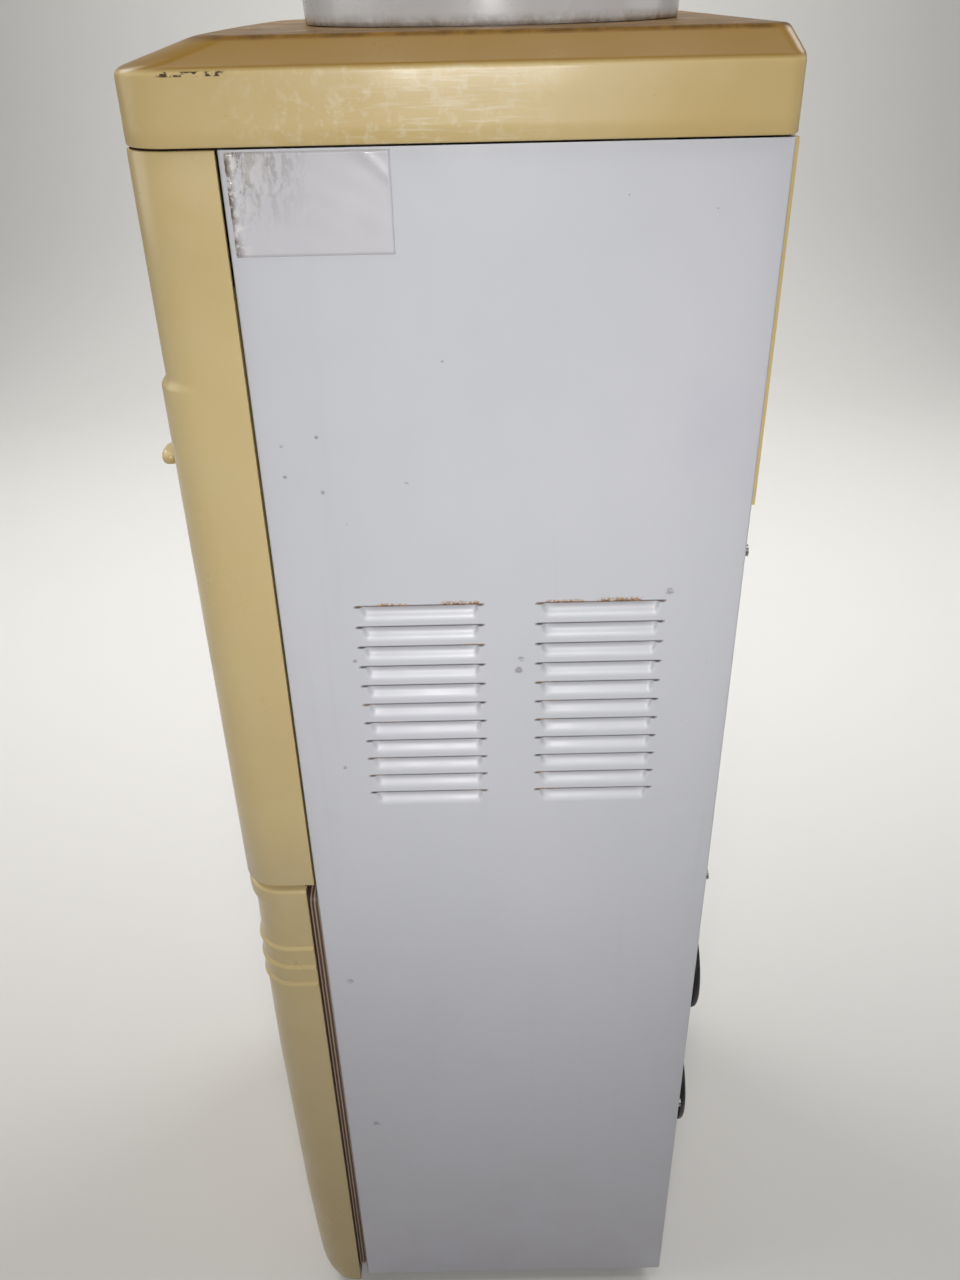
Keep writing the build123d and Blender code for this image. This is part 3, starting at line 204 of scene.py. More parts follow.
def front_plan(half, back, reach, radius, side_steps=6):
    """Open plan of a front moulding from the right rear corner, round the front, to the left rear corner."""
    corner_steps = 12
    front_steps = 28
    end_x = half - radius + radius * math.cos(CORNER_TURN)

    def swell(x):
        return EDGE - reach + BOW * (x / half) ** 2

    centre_y = swell(end_x) + radius * math.sin(CORNER_TURN)
    right = [(half, back + (centre_y - back) * step / side_steps) for step in range(side_steps)]
    for step in range(corner_steps + 1):
        angle = CORNER_TURN * step / corner_steps
        right.append((half - radius + radius * math.cos(angle), centre_y - radius * math.sin(angle)))
    across = [end_x - 2 * end_x * step / front_steps for step in range(1, front_steps)]
    return right + [(x, swell(x)) for x in across] + [(-x, y) for x, y in reversed(right)]


def lift(plan, z):
    """A plan's points at one height."""
    return [Vector((x, y, z)) for x, y in plan]


def row_tree(name):
    """Copies of a seed piece at equal steps."""
    tree = bpy.data.node_groups.new(name, "GeometryNodeTree")
    tree.interface.new_socket("Geometry", in_out="OUTPUT", socket_type="NodeSocketGeometry")
    for label, kind in (("Seed piece", "Object"), ("Count", "Int"), ("Start", "Vector"), ("Step", "Vector"),
                        ("Finish", "Material")):
        tree.interface.new_socket(label, in_out="INPUT", socket_type="NodeSocket" + kind)
    kinds = ("NodeGroupInput", "GeometryNodeObjectInfo", "GeometryNodeMeshLine", "GeometryNodeInstanceOnPoints",
             "GeometryNodeRealizeInstances", "GeometryNodeSetMaterial", "NodeGroupOutput")
    entry, seed, line, copies, real, finish, leave = (tree.nodes.new(kind) for kind in kinds)
    wires = ((entry, "Seed piece", seed, "Object"), (entry, "Count", line, "Count"),
             (entry, "Start", line, "Start Location"), (entry, "Step", line, "Offset"),
             (line, "Mesh", copies, "Points"), (seed, "Geometry", copies, "Instance"),
             (copies, "Instances", real, "Geometry"), (real, "Geometry", finish, "Geometry"),
             (entry, "Finish", finish, "Material"), (finish, "Geometry", leave, "Geometry"))
    for source, given, target, taken in wires:
        tree.links.new(source.outputs[given], target.inputs[taken])
    return tree


def row_of(name, tree, values):
    """A plain mesh made by a row tree with these values."""
    obj = mesh_object(name, [(0, 0, 0)], [])
    grower = obj.modifiers.new("grow", "NODES")
    grower.node_group = tree
    for item in tree.interface.items_tree:
        if item.in_out == "INPUT":
            grower[item.identifier] = values[item.name]
    return settle(obj)


def joined(name, pieces):
    """One object from several plain meshes."""
    work = bmesh.new()
    for piece in pieces:
        work.from_mesh(piece.data)
    mesh = bpy.data.meshes.new(name)
    work.to_mesh(mesh)
    work.free()
    for piece in pieces:
        bpy.data.objects.remove(piece)
    obj = bpy.data.objects.new(name, mesh)
    bpy.context.collection.objects.link(obj)
    return obj


def put(obj, body, replaced, finish):
    """Gives a finished piece its material, its body and the part that it stands for."""
    obj.data.materials.clear()
    obj.data.materials.append(finish)
    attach(obj, body)
    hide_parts(replaced)
    return obj


# ---- materials
class Finish:
    """A material under construction: a Principled shader and short ways to feed it."""

    def __init__(self, name, color, **sockets):
        self.material = bpy.data.materials.new(name)
        self.material.use_nodes = True
        tree = self.material.node_tree
        self.nodes = tree.nodes
        self.link = tree.links.new
        self.shader = self.nodes["Principled BSDF"]
        self.color = (*linear(color), 1)
        self.shader.inputs["Base Color"].default_value = self.color
        for socket, value in sockets.items():
            self.shader.inputs[socket.replace("_", " ")].default_value = value
        self.place = self.nodes.new("ShaderNodeTexCoord").outputs["Object"]

    def feed(self, socket, value):
        """Sets a socket, or links it to another node's output."""
        if isinstance(value, bpy.types.NodeSocket):
            self.link(value, socket)
        else:
            socket.default_value = value

    def add(self, kind, result, **inputs):
        """A shader node with its inputs fed; gives back one output."""
        node = self.nodes.new("ShaderNode" + kind)
        for name, value in inputs.items():
            self.feed(node.inputs[name.replace("_", " ")], value)
        return node.outputs[result]

    def mapping(self, scale, rotation=(0, 0, 0)):
        return self.add("Mapping", "Vector", Vector=self.place, Scale=scale, Rotation=rotation)

    def noise(self, scale, detail=4.0, rough=0.55, vector=None):
        place = vector or self.place
        return self.add("TexNoise", "Fac", Vector=place, Scale=scale, Detail=detail, Roughness=rough)

    def cells(self, scale):
        return self.add("TexVoronoi", "Distance", Vector=self.place, Scale=scale)

    def ramp(self, value, low, high, start=0.0, end=1.0):
        return self.add("MapRange", "Result", Value=value, From_Min=low, From_Max=high, To_Min=start, To_Max=end)

    def patches(self, low, high, *kind):
        """Soft-edged patches: noise of a kind, cut between two levels."""
        return self.ramp(self.noise(*kind), low, high)

    def math(self, kind, a, b=0.0):
        node = self.nodes.new("ShaderNodeMath")
        node.operation = kind
        node.use_clamp = kind in ("ADD", "MULTIPLY", "SUBTRACT")
        self.feed(node.inputs[0], a)
        self.feed(node.inputs[1], b)
        return node.outputs["Value"]

    def both(self, a, b):
        """Strong only where two masks are."""
        return self.math("MULTIPLY", a, b)

    def axis(self, letter):
        return self.add("SeparateXYZ", letter, Vector=self.place)

    def band(self, letter, low, high, soft):
        """1 between two places along an axis, falling to 0 over a soft edge."""
        along = self.axis(letter)
        return self.both(self.ramp(along, low - soft, low), self.ramp(along, high, high + soft, 1.0, 0.0))

    def spot(self, y, z, size):
        """1 round one place on a side, falling to 0 at its size."""
        across, up = (self.math("POWER", self.ramp(self.axis(letter), middle - size, middle + size, -1.0, 1.0), 2)
                      for letter, middle in (("Y", y), ("Z", z)))
        return self.ramp(self.math("ADD", across, up), 1.0, 0.3)

    def attribute(self, name):
        node = self.nodes.new("ShaderNodeAttribute")
        node.attribute_name = name
        return node.outputs["Fac"]

    def tint(self, mask, color, strength=1.0):
        """Lays a colour over what is there, where the mask is 1."""
        node = self.nodes.new("ShaderNodeMix")
        node.data_type = "RGBA"
        self.feed(node.inputs["A"], self.color)
        node.inputs["B"].default_value = (*linear(color), 1)
        self.link(self.both(mask, strength), node.inputs["Factor"])
        self.color = node.outputs["Result"]
        self.link(self.color, self.shader.inputs["Base Color"])

    def rough(self, value):
        self.link(value, self.shader.inputs["Roughness"])

    def uneven(self, scale, detail, low, high):
        """Roughness that wanders between two values."""
        self.rough(self.ramp(self.noise(scale, detail), 0.3, 0.8, low, high))

    def bump(self, height, distance, strength=1.0):
        """Relief from a height, added to the relief that is there."""
        node = self.nodes.new("ShaderNodeBump")
        node.inputs["Distance"].default_value = distance
        node.inputs["Strength"].default_value = strength
        self.link(height, node.inputs["Height"])
        for wire in self.shader.inputs["Normal"].links:
            self.link(wire.from_socket, node.inputs["Normal"])
        self.link(node.outputs["Normal"], self.shader.inputs["Normal"])


def linear(color):
    """sRGB 0-255 to linear."""
    shares = [value / 255 for value in color]
    return [share / 12.92 if share <= 0.04045 else ((share + 0.055) / 1.055) ** 2.4 for share in shares]


def scaled(color, shares):
    """A colour with each channel times its share."""
    return [channel * share for channel, share in zip(color, shares)]


PANEL_MARKS = (
    # y, z and size of small dark marks on the side panels, in metres
    (-0.0546, 0.6568, 0.0016), (-0.0669, 0.5800, 0.0016), (0.0396, 0.6484, 0.0028), (0.0410, 0.6561, 0.0022),
    (0.1236, 0.6983, 0.0030), (-0.0796, 0.3902, 0.0030), (-0.0725, 0.2278, 0.0036), (-0.0818, 0.7879, 0.0012),
    (-0.0635, 0.7922, 0.0012), (-0.0819, 0.7708, 0.0013), (-0.0190, 0.7658, 0.0013), (-0.0632, 0.7619, 0.0014),
    (-0.0517, 0.7429, 0.0010), (0.0020, 0.8300, 0.0010),
)


def white_paint():
    """White stoved paint: fine orange peel, faint smears, a few chips, rust at the slits, painted shade toward its
    foot and under the slits.
    """
    f = Finish("white_paint", (214, 215, 221), Roughness=0.46, Coat_Weight=0.08, Coat_Roughness=0.3)
    f.tint(f.patches(0.42, 0.75, 3.2, 5, 0.6, f.mapping((1, 1, 0.45))), (200, 203, 207), 0.7)
    f.tint(f.patches(0.60, 0.78, 9, 3), (206, 205, 215), 0.5)
    f.tint(f.patches(0.62, 0.82, 60, 3, 0.5, f.mapping((1, 1, 0.04))), (192, 191, 190), 0.22)
    # painted shade: the paint grows darker and bluer toward the panel's foot
    f.tint(f.ramp(f.axis("Z"), BASE + 0.46, BASE + 0.02), (184, 183, 193), 0.75)
    foot = f.ramp(f.axis("Z"), BASE + 0.22, BASE)
    f.tint(f.both(foot, f.patches(0.35, 0.8, 24, 6)), (172, 166, 156), 0.35)
    f.tint(f.both(f.ramp(f.cells(95), 0.045, 0.02), f.patches(0.60, 0.66, 11, 2)), (92, 84, 78), 0.8)
    smudge = f.patches(0.42, 0.56, 420, 4, 0.7, f.mapping((1, 0.6, 1)))
    for y, z, size in PANEL_MARKS:
        f.tint(f.both(f.spot(y, z, size), smudge), (120, 112, 106), 0.6)
    slit = f.attribute("slit")
    # painted shade over the pocket's flat under each slit
    f.tint(f.ramp(slit, 0.04, 0.24), (150, 150, 158), 0.8)
    # dark line at each slit: dirt on the torn edge, partly painted shadow under the lip
    f.tint(f.both(f.ramp(slit, 0.36, 0.66), f.ramp(f.noise(38, 3), 0.25, 0.45, 0.6, 1.0)), (78, 68, 60), 0.92)
    wear = f.attribute("wear")
    rust = f.both(f.ramp(wear, 0.12, 0.5), f.patches(0.44, 0.56, 620, 5, 0.7))
    f.tint(rust, (176, 134, 72), 0.9)
    heavy = f.both(f.ramp(wear, 0.50, 0.85), f.patches(0.42, 0.54, 300, 4))
    f.tint(heavy, (112, 76, 40), 0.95)
    f.uneven(40, 4, 0.36, 0.52)
    f.bump(f.noise(900, 2), 0.00006, 0.5)
    f.bump(f.math("ADD", rust, heavy), 0.0002, 0.6)
    return f.material


AGED = (216, 194, 140)


def aged_beige(name="aged_beige", color=AGED, gloss=0.3, specular=0.5):
    """Yellowed glossy moulding: yellower clouds, paler patches and a few dark specks."""
    f = Finish(name, color, Roughness=0.34, Coat_Weight=gloss, Specular_IOR_Level=specular, Coat_Roughness=0.18,
               Subsurface_Weight=0.03, Subsurface_Radius=(0.004, 0.003, 0.002))
    f.tint(f.patches(0.40, 0.72, 5.5), scaled(color, (0.94, 0.90, 0.80)), 0.6)
    f.tint(f.patches(0.52, 0.80, 16, 5, 0.6), scaled(color, (1.01, 1.03, 1.12)), 0.45)
    f.tint(f.both(f.ramp(f.cells(130), 0.05, 0.02), f.patches(0.58, 0.66, 14, 2)), (96, 76, 48), 0.75)
    f.rough(f.ramp(f.noise(28, 5), 0.3, 0.75, 0.26, 0.46))
    f.bump(f.noise(700, 2), 0.00004, 0.4)
    f.bump(f.noise(38, 2), 0.0003, 0.25)
    return f


def front_beige():
    """The front's beige, a little duller toward its foot."""
    f = aged_beige("aged_beige_front")
    f.tint(f.ramp(f.axis("Z"), 0.84, 0.44), scaled(AGED, (0.945, 0.95, 0.985)), 0.75)
    return f.material


def door_beige():
    """The door's beige, darker and browner toward its foot."""
    color = (203, 184, 138)
    f = aged_beige("aged_beige_door", color)
    f.tint(f.ramp(f.axis("Z"), 0.42, 0.02), scaled(color, (0.86, 0.83, 0.74)), 0.95)
    return f.material


def cover_beige():
    """The cover's beige: browned shoulder, dirty top, pale worn blots and fine scratches brightened as a painted
    highlight where the lamp reflects, and dark nicks on its sides.
    """
    f = aged_beige("aged_beige_cover", (218, 194, 138), gloss=0.1, specular=0.3)
    top = cover_high.z - 0.0008
    # pale worn blots, lightened further as a painted highlight where the lamp's reflection falls on the cover's front
    pale_wear_and_highlight = f.band("Y", EDGE + 0.035, EDGE + 0.12, 0.045)
    f.tint(f.both(pale_wear_and_highlight, f.patches(0.52, 0.68, 190, 3, 0.6)), (230, 216, 180), 0.5)
    # fine scratches drawn as pale streaks: painted glints of the same highlight
    scratch = f.patches(0.52, 0.66, 640, 4, 0.6, f.mapping((1, 0.07, 1)))
    rubbed_and_highlit = f.band("Y", EDGE + 0.075, EDGE + 0.125, 0.03)
    f.tint(f.both(rubbed_and_highlit, scratch), (238, 228, 202), 0.4)
    height = f.axis("Z")
    f.tint(f.ramp(height, top - 0.0124, top - 0.0106), (146, 110, 34), 0.97)
    roof = f.ramp(height, top - 0.0016, top - 0.0002)
    f.tint(f.both(roof, f.patches(0.15, 0.5, 30, 4)), (140, 104, 52), 0.9)
    f.tint(f.both(roof, f.patches(0.34, 0.60, 85, 6, 0.7)), (98, 72, 38), 0.85)
    f.link(f.ramp(roof, 0.0, 1.0, 0.3, 0.05), f.shader.inputs["Specular IOR Level"])
    f.link(f.ramp(roof, 0.0, 1.0, 0.1, 0.0), f.shader.inputs["Coat Weight"])
    edge = f.band("Z", top - 0.0138, top - 0.0122, 0.0004)
    held = f.both(edge, f.band("Y", EDGE - 0.019, EDGE + 0.006, 0.003))
    f.tint(f.both(held, f.patches(0.50, 0.55, 420, 4, 0.7, f.mapping((1, 0.6, 1)))), (62, 46, 32), 0.95)
    return f.material


def grey_gloss():
    """Glossy grey-white plastic of the collar, dusty at its foot."""
    f = Finish("grey_gloss", (204, 205, 207), Roughness=0.24, Coat_Weight=0.45, Coat_Roughness=0.1)
    f.tint(f.patches(0.45, 0.75, 12, 4, 0.6, f.mapping((1, 1, 0.3))), (188, 187, 185), 0.6)
    foot = f.band("Z", cover_high.z - 0.001, cover_high.z + 0.001, 0.005)
    f.tint(f.both(foot, f.patches(0.35, 0.70, 120, 5, 0.7)), (122, 104, 78), 0.8)
    f.tint(f.patches(0.62, 0.80, 55, 6, 0.7), (172, 164, 150), 0.4)
    f.uneven(22, 5, 0.16, 0.38)
    f.bump(f.noise(260, 2), 0.00005, 0.4)
    return f.material


def brown_gasket():
    """Brown rubber seal: dusty ribs, with painted shade in the grooves between them and along its door side."""
    f = Finish("brown_gasket", (178, 152, 134))
    depth = gasket_high.y - gasket_low.y
    f.tint(f.patches(0.42, 0.72, 36, 4, 0.6, f.mapping((1, 1, 0.15))), (150, 126, 108), 0.7)
    f.tint(f.patches(0.58, 0.75, 140, 5), (190, 174, 158), 0.45)
    # painted shade: dark lines along the door side and down the middle of each groove
    for share, color in ((0.02, (62, 42, 28)), (0.32, (72, 56, 46)), (0.69, (84, 70, 62))):
        middle = gasket_low.y + share * depth
        f.tint(f.band("Y", middle - 0.0004, middle + 0.0004, 0.0005), color, 0.9)
    f.uneven(60, 4, 0.40, 0.62)
    f.bump(f.noise(350, 3), 0.00015, 0.5)
    return f.material


def shaded_liner(name, low, high, side, back):
    """White liner plastic, painted near-black with shade where its rim shows in the seam round the door, with brown
    dirt spots there.
    """
    f = Finish(name, (222, 220, 212), Roughness=0.34)
    f.tint(f.patches(0.40, 0.75, 18, 4), (206, 200, 184), 0.6)
    outside = f.ramp(f.math("ABSOLUTE", f.axis("X")), side - 0.001, side)
    above = f.ramp(f.axis("Z"), high - 0.001, high)
    below = f.ramp(f.axis("Z"), low + 0.001, low)
    rim = f.math("MAXIMUM", outside, f.math("MAXIMUM", above, below))
    seam_shade_and_grime = f.both(rim, f.band("Y", *back, 0.0008))
    # painted shade: the rim in the seam goes near-black
    f.tint(seam_shade_and_grime, (52, 38, 27), 1.0)
    # brown dirt spots on the shaded rim
    f.tint(f.both(seam_shade_and_grime, f.patches(0.50, 0.62, 160, 4)), (104, 66, 40), 0.6)
    f.uneven(45, 4, 0.28, 0.50)
    f.bump(f.noise(420, 2), 0.00006, 0.5)
    return f.material


def plain_moulding(name, color, roughness, second, grain=420):
    """Small mouldings and liners: slight cloudiness and a fine grain."""
    f = Finish(name, color, Roughness=roughness)
    f.tint(f.patches(0.40, 0.75, 18, 4), second, 0.6)
    f.tint(f.both(f.ramp(f.cells(120), 0.06, 0.02), f.patches(0.55, 0.65, 16, 2)), (120, 112, 98), 0.5)
    f.uneven(45, 4, max(roughness - 0.08, 0.05), roughness + 0.12)
    f.bump(f.noise(grain, 2), 0.00006, 0.5)
    return f.material


def zinc_sheet():
    """Galvanised steel: spangle, dull grey, dust."""
    f = Finish("zinc_sheet", (168, 170, 172), Roughness=0.42, Metallic=0.85)
    f.tint(f.ramp(f.cells(70), 0.1, 0.7), (140, 143, 147), 0.7)
    f.tint(f.patches(0.55, 0.80, 26, 6, 0.65), (128, 120, 104), 0.5)
    f.uneven(50, 4, 0.34, 0.60)
    f.bump(f.noise(300, 3), 0.00005, 0.4)
    return f.material


def brushed(name, color, roughness, along=(1, 1, 1)):
    """Bare metal with a fine grain, drawn out along one way."""
    f = Finish(name, color, Roughness=roughness, Metallic=1.0)
    grain = f.noise(600, 3, 0.6, f.mapping(along))
    f.tint(f.ramp(grain, 0.35, 0.70), scaled(color, (0.82, 0.82, 0.82)), 0.6)
    f.tint(f.patches(0.55, 0.80, 22, 4), scaled(color, (0.66, 0.66, 0.66)), 0.4)
    f.rough(f.ramp(grain, 0.3, 0.75, roughness - 0.06, roughness + 0.16))
    f.bump(grain, 0.00003, 0.5)
    return f.material


def black_enamel():
    """Semi-gloss black enamel with dust on it."""
    f = Finish("black_enamel", (26, 26, 28), Roughness=0.36, Coat_Weight=0.2)
    f.tint(f.patches(0.50, 0.78, 48, 6, 0.7), (74, 68, 60), 0.55)
    f.tint(f.patches(0.64, 0.76, 210, 4), (96, 60, 38), 0.5)
    f.uneven(60, 4, 0.28, 0.60)
    f.bump(f.noise(320, 3), 0.00008, 0.5)
    return f.material


def poured_foam():
    """Yellowed insulating foam."""
    f = Finish("poured_foam", (228, 216, 172), Roughness=0.9)
    f.tint(f.patches(0.4, 0.7, 12, 4), (212, 190, 132), 0.7)
    f.tint(f.ramp(f.cells(300), 0.2, 0.6), (236, 228, 196), 0.4)
    f.bump(f.cells(240), 0.0006, 0.6)
    return f.material


def clear_hose():
    """Milky silicone."""
    f = Finish("clear_hose", (226, 226, 220), Roughness=0.35, Transmission_Weight=0.35)
    f.tint(f.patches(0.45, 0.75, 40, 4), (206, 202, 186), 0.5)
    f.bump(f.noise(200, 2), 0.00006, 0.4)
    return f.material


def lamp_glass():
    """Small lenses: green, amber and red in turn across the brow."""
    f = Finish("lamp_glass", (190, 52, 34), Roughness=0.2, Coat_Weight=0.5)
    f.tint(f.band("X", -0.035, -0.011, 0.0005), (58, 150, 70), 1.0)
    f.tint(f.band("X", -0.010, 0.010, 0.0005), (214, 148, 42), 1.0)
    f.tint(f.ramp(f.cells(700), 0.3, 0.7), (236, 220, 200), 0.15)
    f.bump(f.cells(800), 0.0002, 0.5)
    return f.material


def sticker_film():
    """Blank film with grey scuffs at one corner, a browned left edge and lifted flakes."""
    f = Finish("sticker_film", (214, 213, 217), Roughness=0.38, Coat_Weight=0.3)
    y0 = label_low.y
    z1 = label_high.z
    f.tint(f.patches(0.40, 0.75, 30, 4), (208, 205, 211), 0.6)
    from_edge = f.axis("Y")
    corner = f.both(f.ramp(from_edge, y0 + 0.040, y0 + 0.004), f.ramp(f.axis("Z"), z1 - 0.036, z1 - 0.004))
    scuff = f.noise(260, 5, 0.75, f.mapping((1, 1, 0.35), rotation=(0.6, 0, 0)))
    f.tint(f.both(corner, f.ramp(scuff, 0.48, 0.56)), (138, 128, 122), 0.9)
    f.tint(f.both(corner, f.patches(0.50, 0.60, 120, 4)), (226, 222, 218), 0.6)
    edge = f.ramp(from_edge, y0 + 0.0040, y0 + 0.0005)
    f.tint(f.both(edge, f.patches(0.34, 0.52, 160, 5)), (112, 92, 74), 0.9)
    flake = f.both(f.ramp(from_edge, y0 + 0.010, y0 + 0.002), f.patches(0.52, 0.58, 210, 5, 0.7))
    f.tint(flake, (232, 230, 226), 0.85)
    f.uneven(90, 4, 0.30, 0.52)
    f.bump(f.noise(60, 3), 0.0005, 0.35)
    return f.material


PAINT = white_paint()
BEIGE = aged_beige().material
BEIGE_FRONT = front_beige()
BEIGE_COVER = cover_beige()
BEIGE_DOOR = door_beige()
GREY = grey_gloss()
GASKET = brown_gasket()
ZINC = zinc_sheet()
STEEL = brushed("stainless", (186, 188, 190), 0.26, (1, 1, 0.02))
COPPER = brushed("dull_copper", (184, 112, 74), 0.34)
BRIGHT = brushed("bright_zinc", (190, 190, 186), 0.28)
BLACK = black_enamel()
FOAM = poured_foam()
HOSE = clear_hose()
LAMP = lamp_glass()
FILM = sticker_film()
DARK = plain_moulding("dark_moulding", (34, 34, 36), 0.5, (52, 49, 45))
WHITE = plain_moulding("white_moulding", (222, 220, 212), 0.34, (206, 200, 184))
TRAY = plain_moulding("tray_moulding", (96, 86, 68), 0.45, (76, 66, 50))
RUBBER = plain_moulding("black_rubber", (30, 29, 28), 0.75, (44, 41, 38), 260)

CAD_FINISH = {
    "cabinet_paint": PAINT, "galvanised": ZINC, "beige_plastic": BEIGE, "grey_collar": GREY, "dark_plastic": DARK,
    "liner_plastic": WHITE, "gasket_rubber": GASKET, "soft_rubber": RUBBER, "foam": FOAM, "stainless": STEEL,
    "black_steel": BLACK, "copper": COPPER, "zinc_screw": BRIGHT, "silicone": HOSE, "lamp_lens": LAMP,
    "tray_plastic": TRAY, "label_film": FILM,
}
seal_top = gasket_high.z - 6 * MM
OWN_FINISH = {
    "door_liner": shaded_liner("door_liner_plastic", gasket_low.z, seal_top, gasket_high.x - 1 * MM,
                               (EDGE - 11 * MM, EDGE - 6.5 * MM)),
    "cabinet_liner": shaded_liner("cabinet_liner_plastic", gasket_low.z, seal_top, gasket_high.x - 3 * MM,
                                  (EDGE - 1 * MM, EDGE + 3 * MM)),
    # black enamel on the front rail and the top hinge bracket is painted shade for the dark seam above the door seal
    "front_rail": BLACK, "hinge_bracket_top": BLACK,
}
slots = {entry["node"]: entry["material_slot"] for entry in frame["record"]["subparts"]}
for node, obj in frame["nodes"].items():
    obj.data.materials.clear()
    obj.data.materials.append(OWN_FINISH.get(node) or CAD_FINISH[slots[node]])


# ---- side panels
LOUVRE_ROWS = 11
LOUVRE_PITCH = 13.25 * MM
LOUVRE_HEIGHT = 10.3 * MM
LOUVRE_DEPTH = 3.0 * MM
LOUVRE_TOP = BASE + 677.5 * MM
LOUVRE_SPANS = ((44.5 * MM, 112.5 * MM), (146.0 * MM, 214.0 * MM))
LOUVRE_MARGIN = 3.0 * MM
LOUVRE_BELOW = 1.6 * MM
SLIT = LOUVRE_BELOW + LOUVRE_HEIGHT
ABOVE_SLIT = (SLIT + 0.35 * MM, SLIT + 0.8 * MM)
LOUVRE_ZONE = LOUVRE_TOP + LOUVRE_PITCH - LOUVRE_ROWS * LOUVRE_PITCH - SLIT
SLOPE = 7.2 * MM
SLOPE_NEAR = 4.0 * MM
SLOPE_FAR = 3.1 * MM
POCKET_CORNER = 9.0 * MM
SHEET = 1.0 * MM
FOLD = 1.4 * MM
FLANGE = 10 * MM


def louvre_lines(span):
    """Subdivision of a louvre along its length and up its height, from its tile's corner."""
    length = span[1] - span[0]
    end = [a * MM for a in (0, 2.2, 3.0, 3.4, 3.8, 4.3, 4.8, 5.3, 5.8, 6.3, 6.9, 8.0, 12)]
    whole = length + 2 * LOUVRE_MARGIN
    middle = [end[-1] + (whole - 2 * end[-1]) * k / 14 for k in range(1, 14)]
    along = end + middle + [whole - a for a in reversed(end)]
    up = [a * MM for a in (0, 1.4, 2.0, 2.7, 3.4, 4.2, 5.0, 5.9, 6.8, 7.7, 8.7, 9.7, 10.6, 11.3)]
    return along, up + [SLIT]


def eased(share, start, end):
    """Rise from 0 to 1, straight but for a soft start and a soft end."""
    steep = 1 / (1 - start / 2 - end / 2)
    if share < start:
        return steep * share ** 2 / (2 * start)
    if share > 1 - end:
        return 1 - steep * (1 - share) ** 2 / (2 * end)
    return steep * (share - start / 2)


def pocket_depth(a, z, length):
    """How far the sheet is pressed in, at a place inside one louvre: flat under the slit, sloped out all round."""
    side = min(a * SLOPE / SLOPE_NEAR, (length - a) * SLOPE / SLOPE_FAR)
    if side <= 0 or z <= 0:
        return 0.0
    inside = min(side, z)
    if max(side, z) < POCKET_CORNER:
        inside = POCKET_CORNER - math.hypot(POCKET_CORNER - side, POCKET_CORNER - z)
    return LOUVRE_DEPTH * eased(min(max(inside / SLOPE, 0.0), 1.0), 0.5, 0.35)


def grid(across, rows, first=0):
    """Faces between rows of points, numbered from the first."""
    corners = [first + row * across + index for row in range(rows - 1) for index in range(across - 1)]
    return [(low, low + 1, low + across + 1, low + across) for low in corners]


def louvre_tile(span):
    """One louvre in its flat margin: pressed in and torn open along its upper edge."""
    along, up = louvre_lines(span)
    length = span[1] - span[0]
    pressed = [(-pocket_depth(a - LOUVRE_MARGIN, z - LOUVRE_BELOW, length), a, z) for z in up for a in along]
    flush = [(0.0, a, z) for z in (SLIT, *ABOVE_SLIT, LOUVRE_PITCH) for a in along]
    faces = grid(len(along), len(up)) + grid(len(along), 4, len(pressed))
    return mesh_object("louvre_seed", pressed + flush, faces)


def flat_sheet():
    """The panel round its louvres, with both upright edges folded in."""
    quarter = [math.pi / 2 * step / 4 for step in range(5)]
    section = [(FACE - FLANGE, EDGE), (FACE - FOLD * 1.8, EDGE)]
    section += [(FACE - FOLD + FOLD * math.sin(a), EDGE + FOLD - FOLD * math.cos(a)) for a in quarter]
    holes = []
    reached = EDGE + FOLD
    for span in LOUVRE_SPANS:
        start = EDGE + span[0] - LOUVRE_MARGIN
        section += [(FACE, reached + (start - reached) * share) for share in (0.25, 0.5, 0.75)]
        along, up = louvre_lines(span)
        holes += range(len(section), len(section) + len(along) - 1)
        section += [(FACE, start + a) for a in along]
        reached = start + along[-1]
    section += [(FACE, reached + (REAR - FOLD - reached) * share) for share in (0.25, 0.5, 0.75)]
    section += [(FACE - FOLD + FOLD * math.cos(a), REAR - FOLD + FOLD * math.sin(a)) for a in quarter]
    section += [(FACE - FOLD * 1.8, REAR), (FACE - FLANGE, REAR)]
    zone_end = LOUVRE_ZONE + LOUVRE_ROWS * LOUVRE_PITCH
    levels = [BASE + (LOUVRE_ZONE - BASE) * k / 12 for k in range(12)]
    levels += [LOUVRE_ZONE + row * LOUVRE_PITCH + z for row in range(LOUVRE_ROWS) for z in (*up, *ABOVE_SLIT)]
    levels += [zone_end + z * MM for z in (0, 0.8, 1.6, 2.6, 4.0, 7.0)]
    levels += [zone_end + (ROOF - zone_end) * k / 8 for k in range(1, 9)]
    points = [(x, y, z) for z in levels for x, y in section]

    def solid(face):
        row, index = divmod(face[0], len(section))
        return index not in holes or not LOUVRE_ZONE < (levels[row] + levels[row + 1]) / 2 < zone_end

    return mesh_object("flat_sheet", points, [face for face in grid(len(section), len(levels)) if solid(face)])


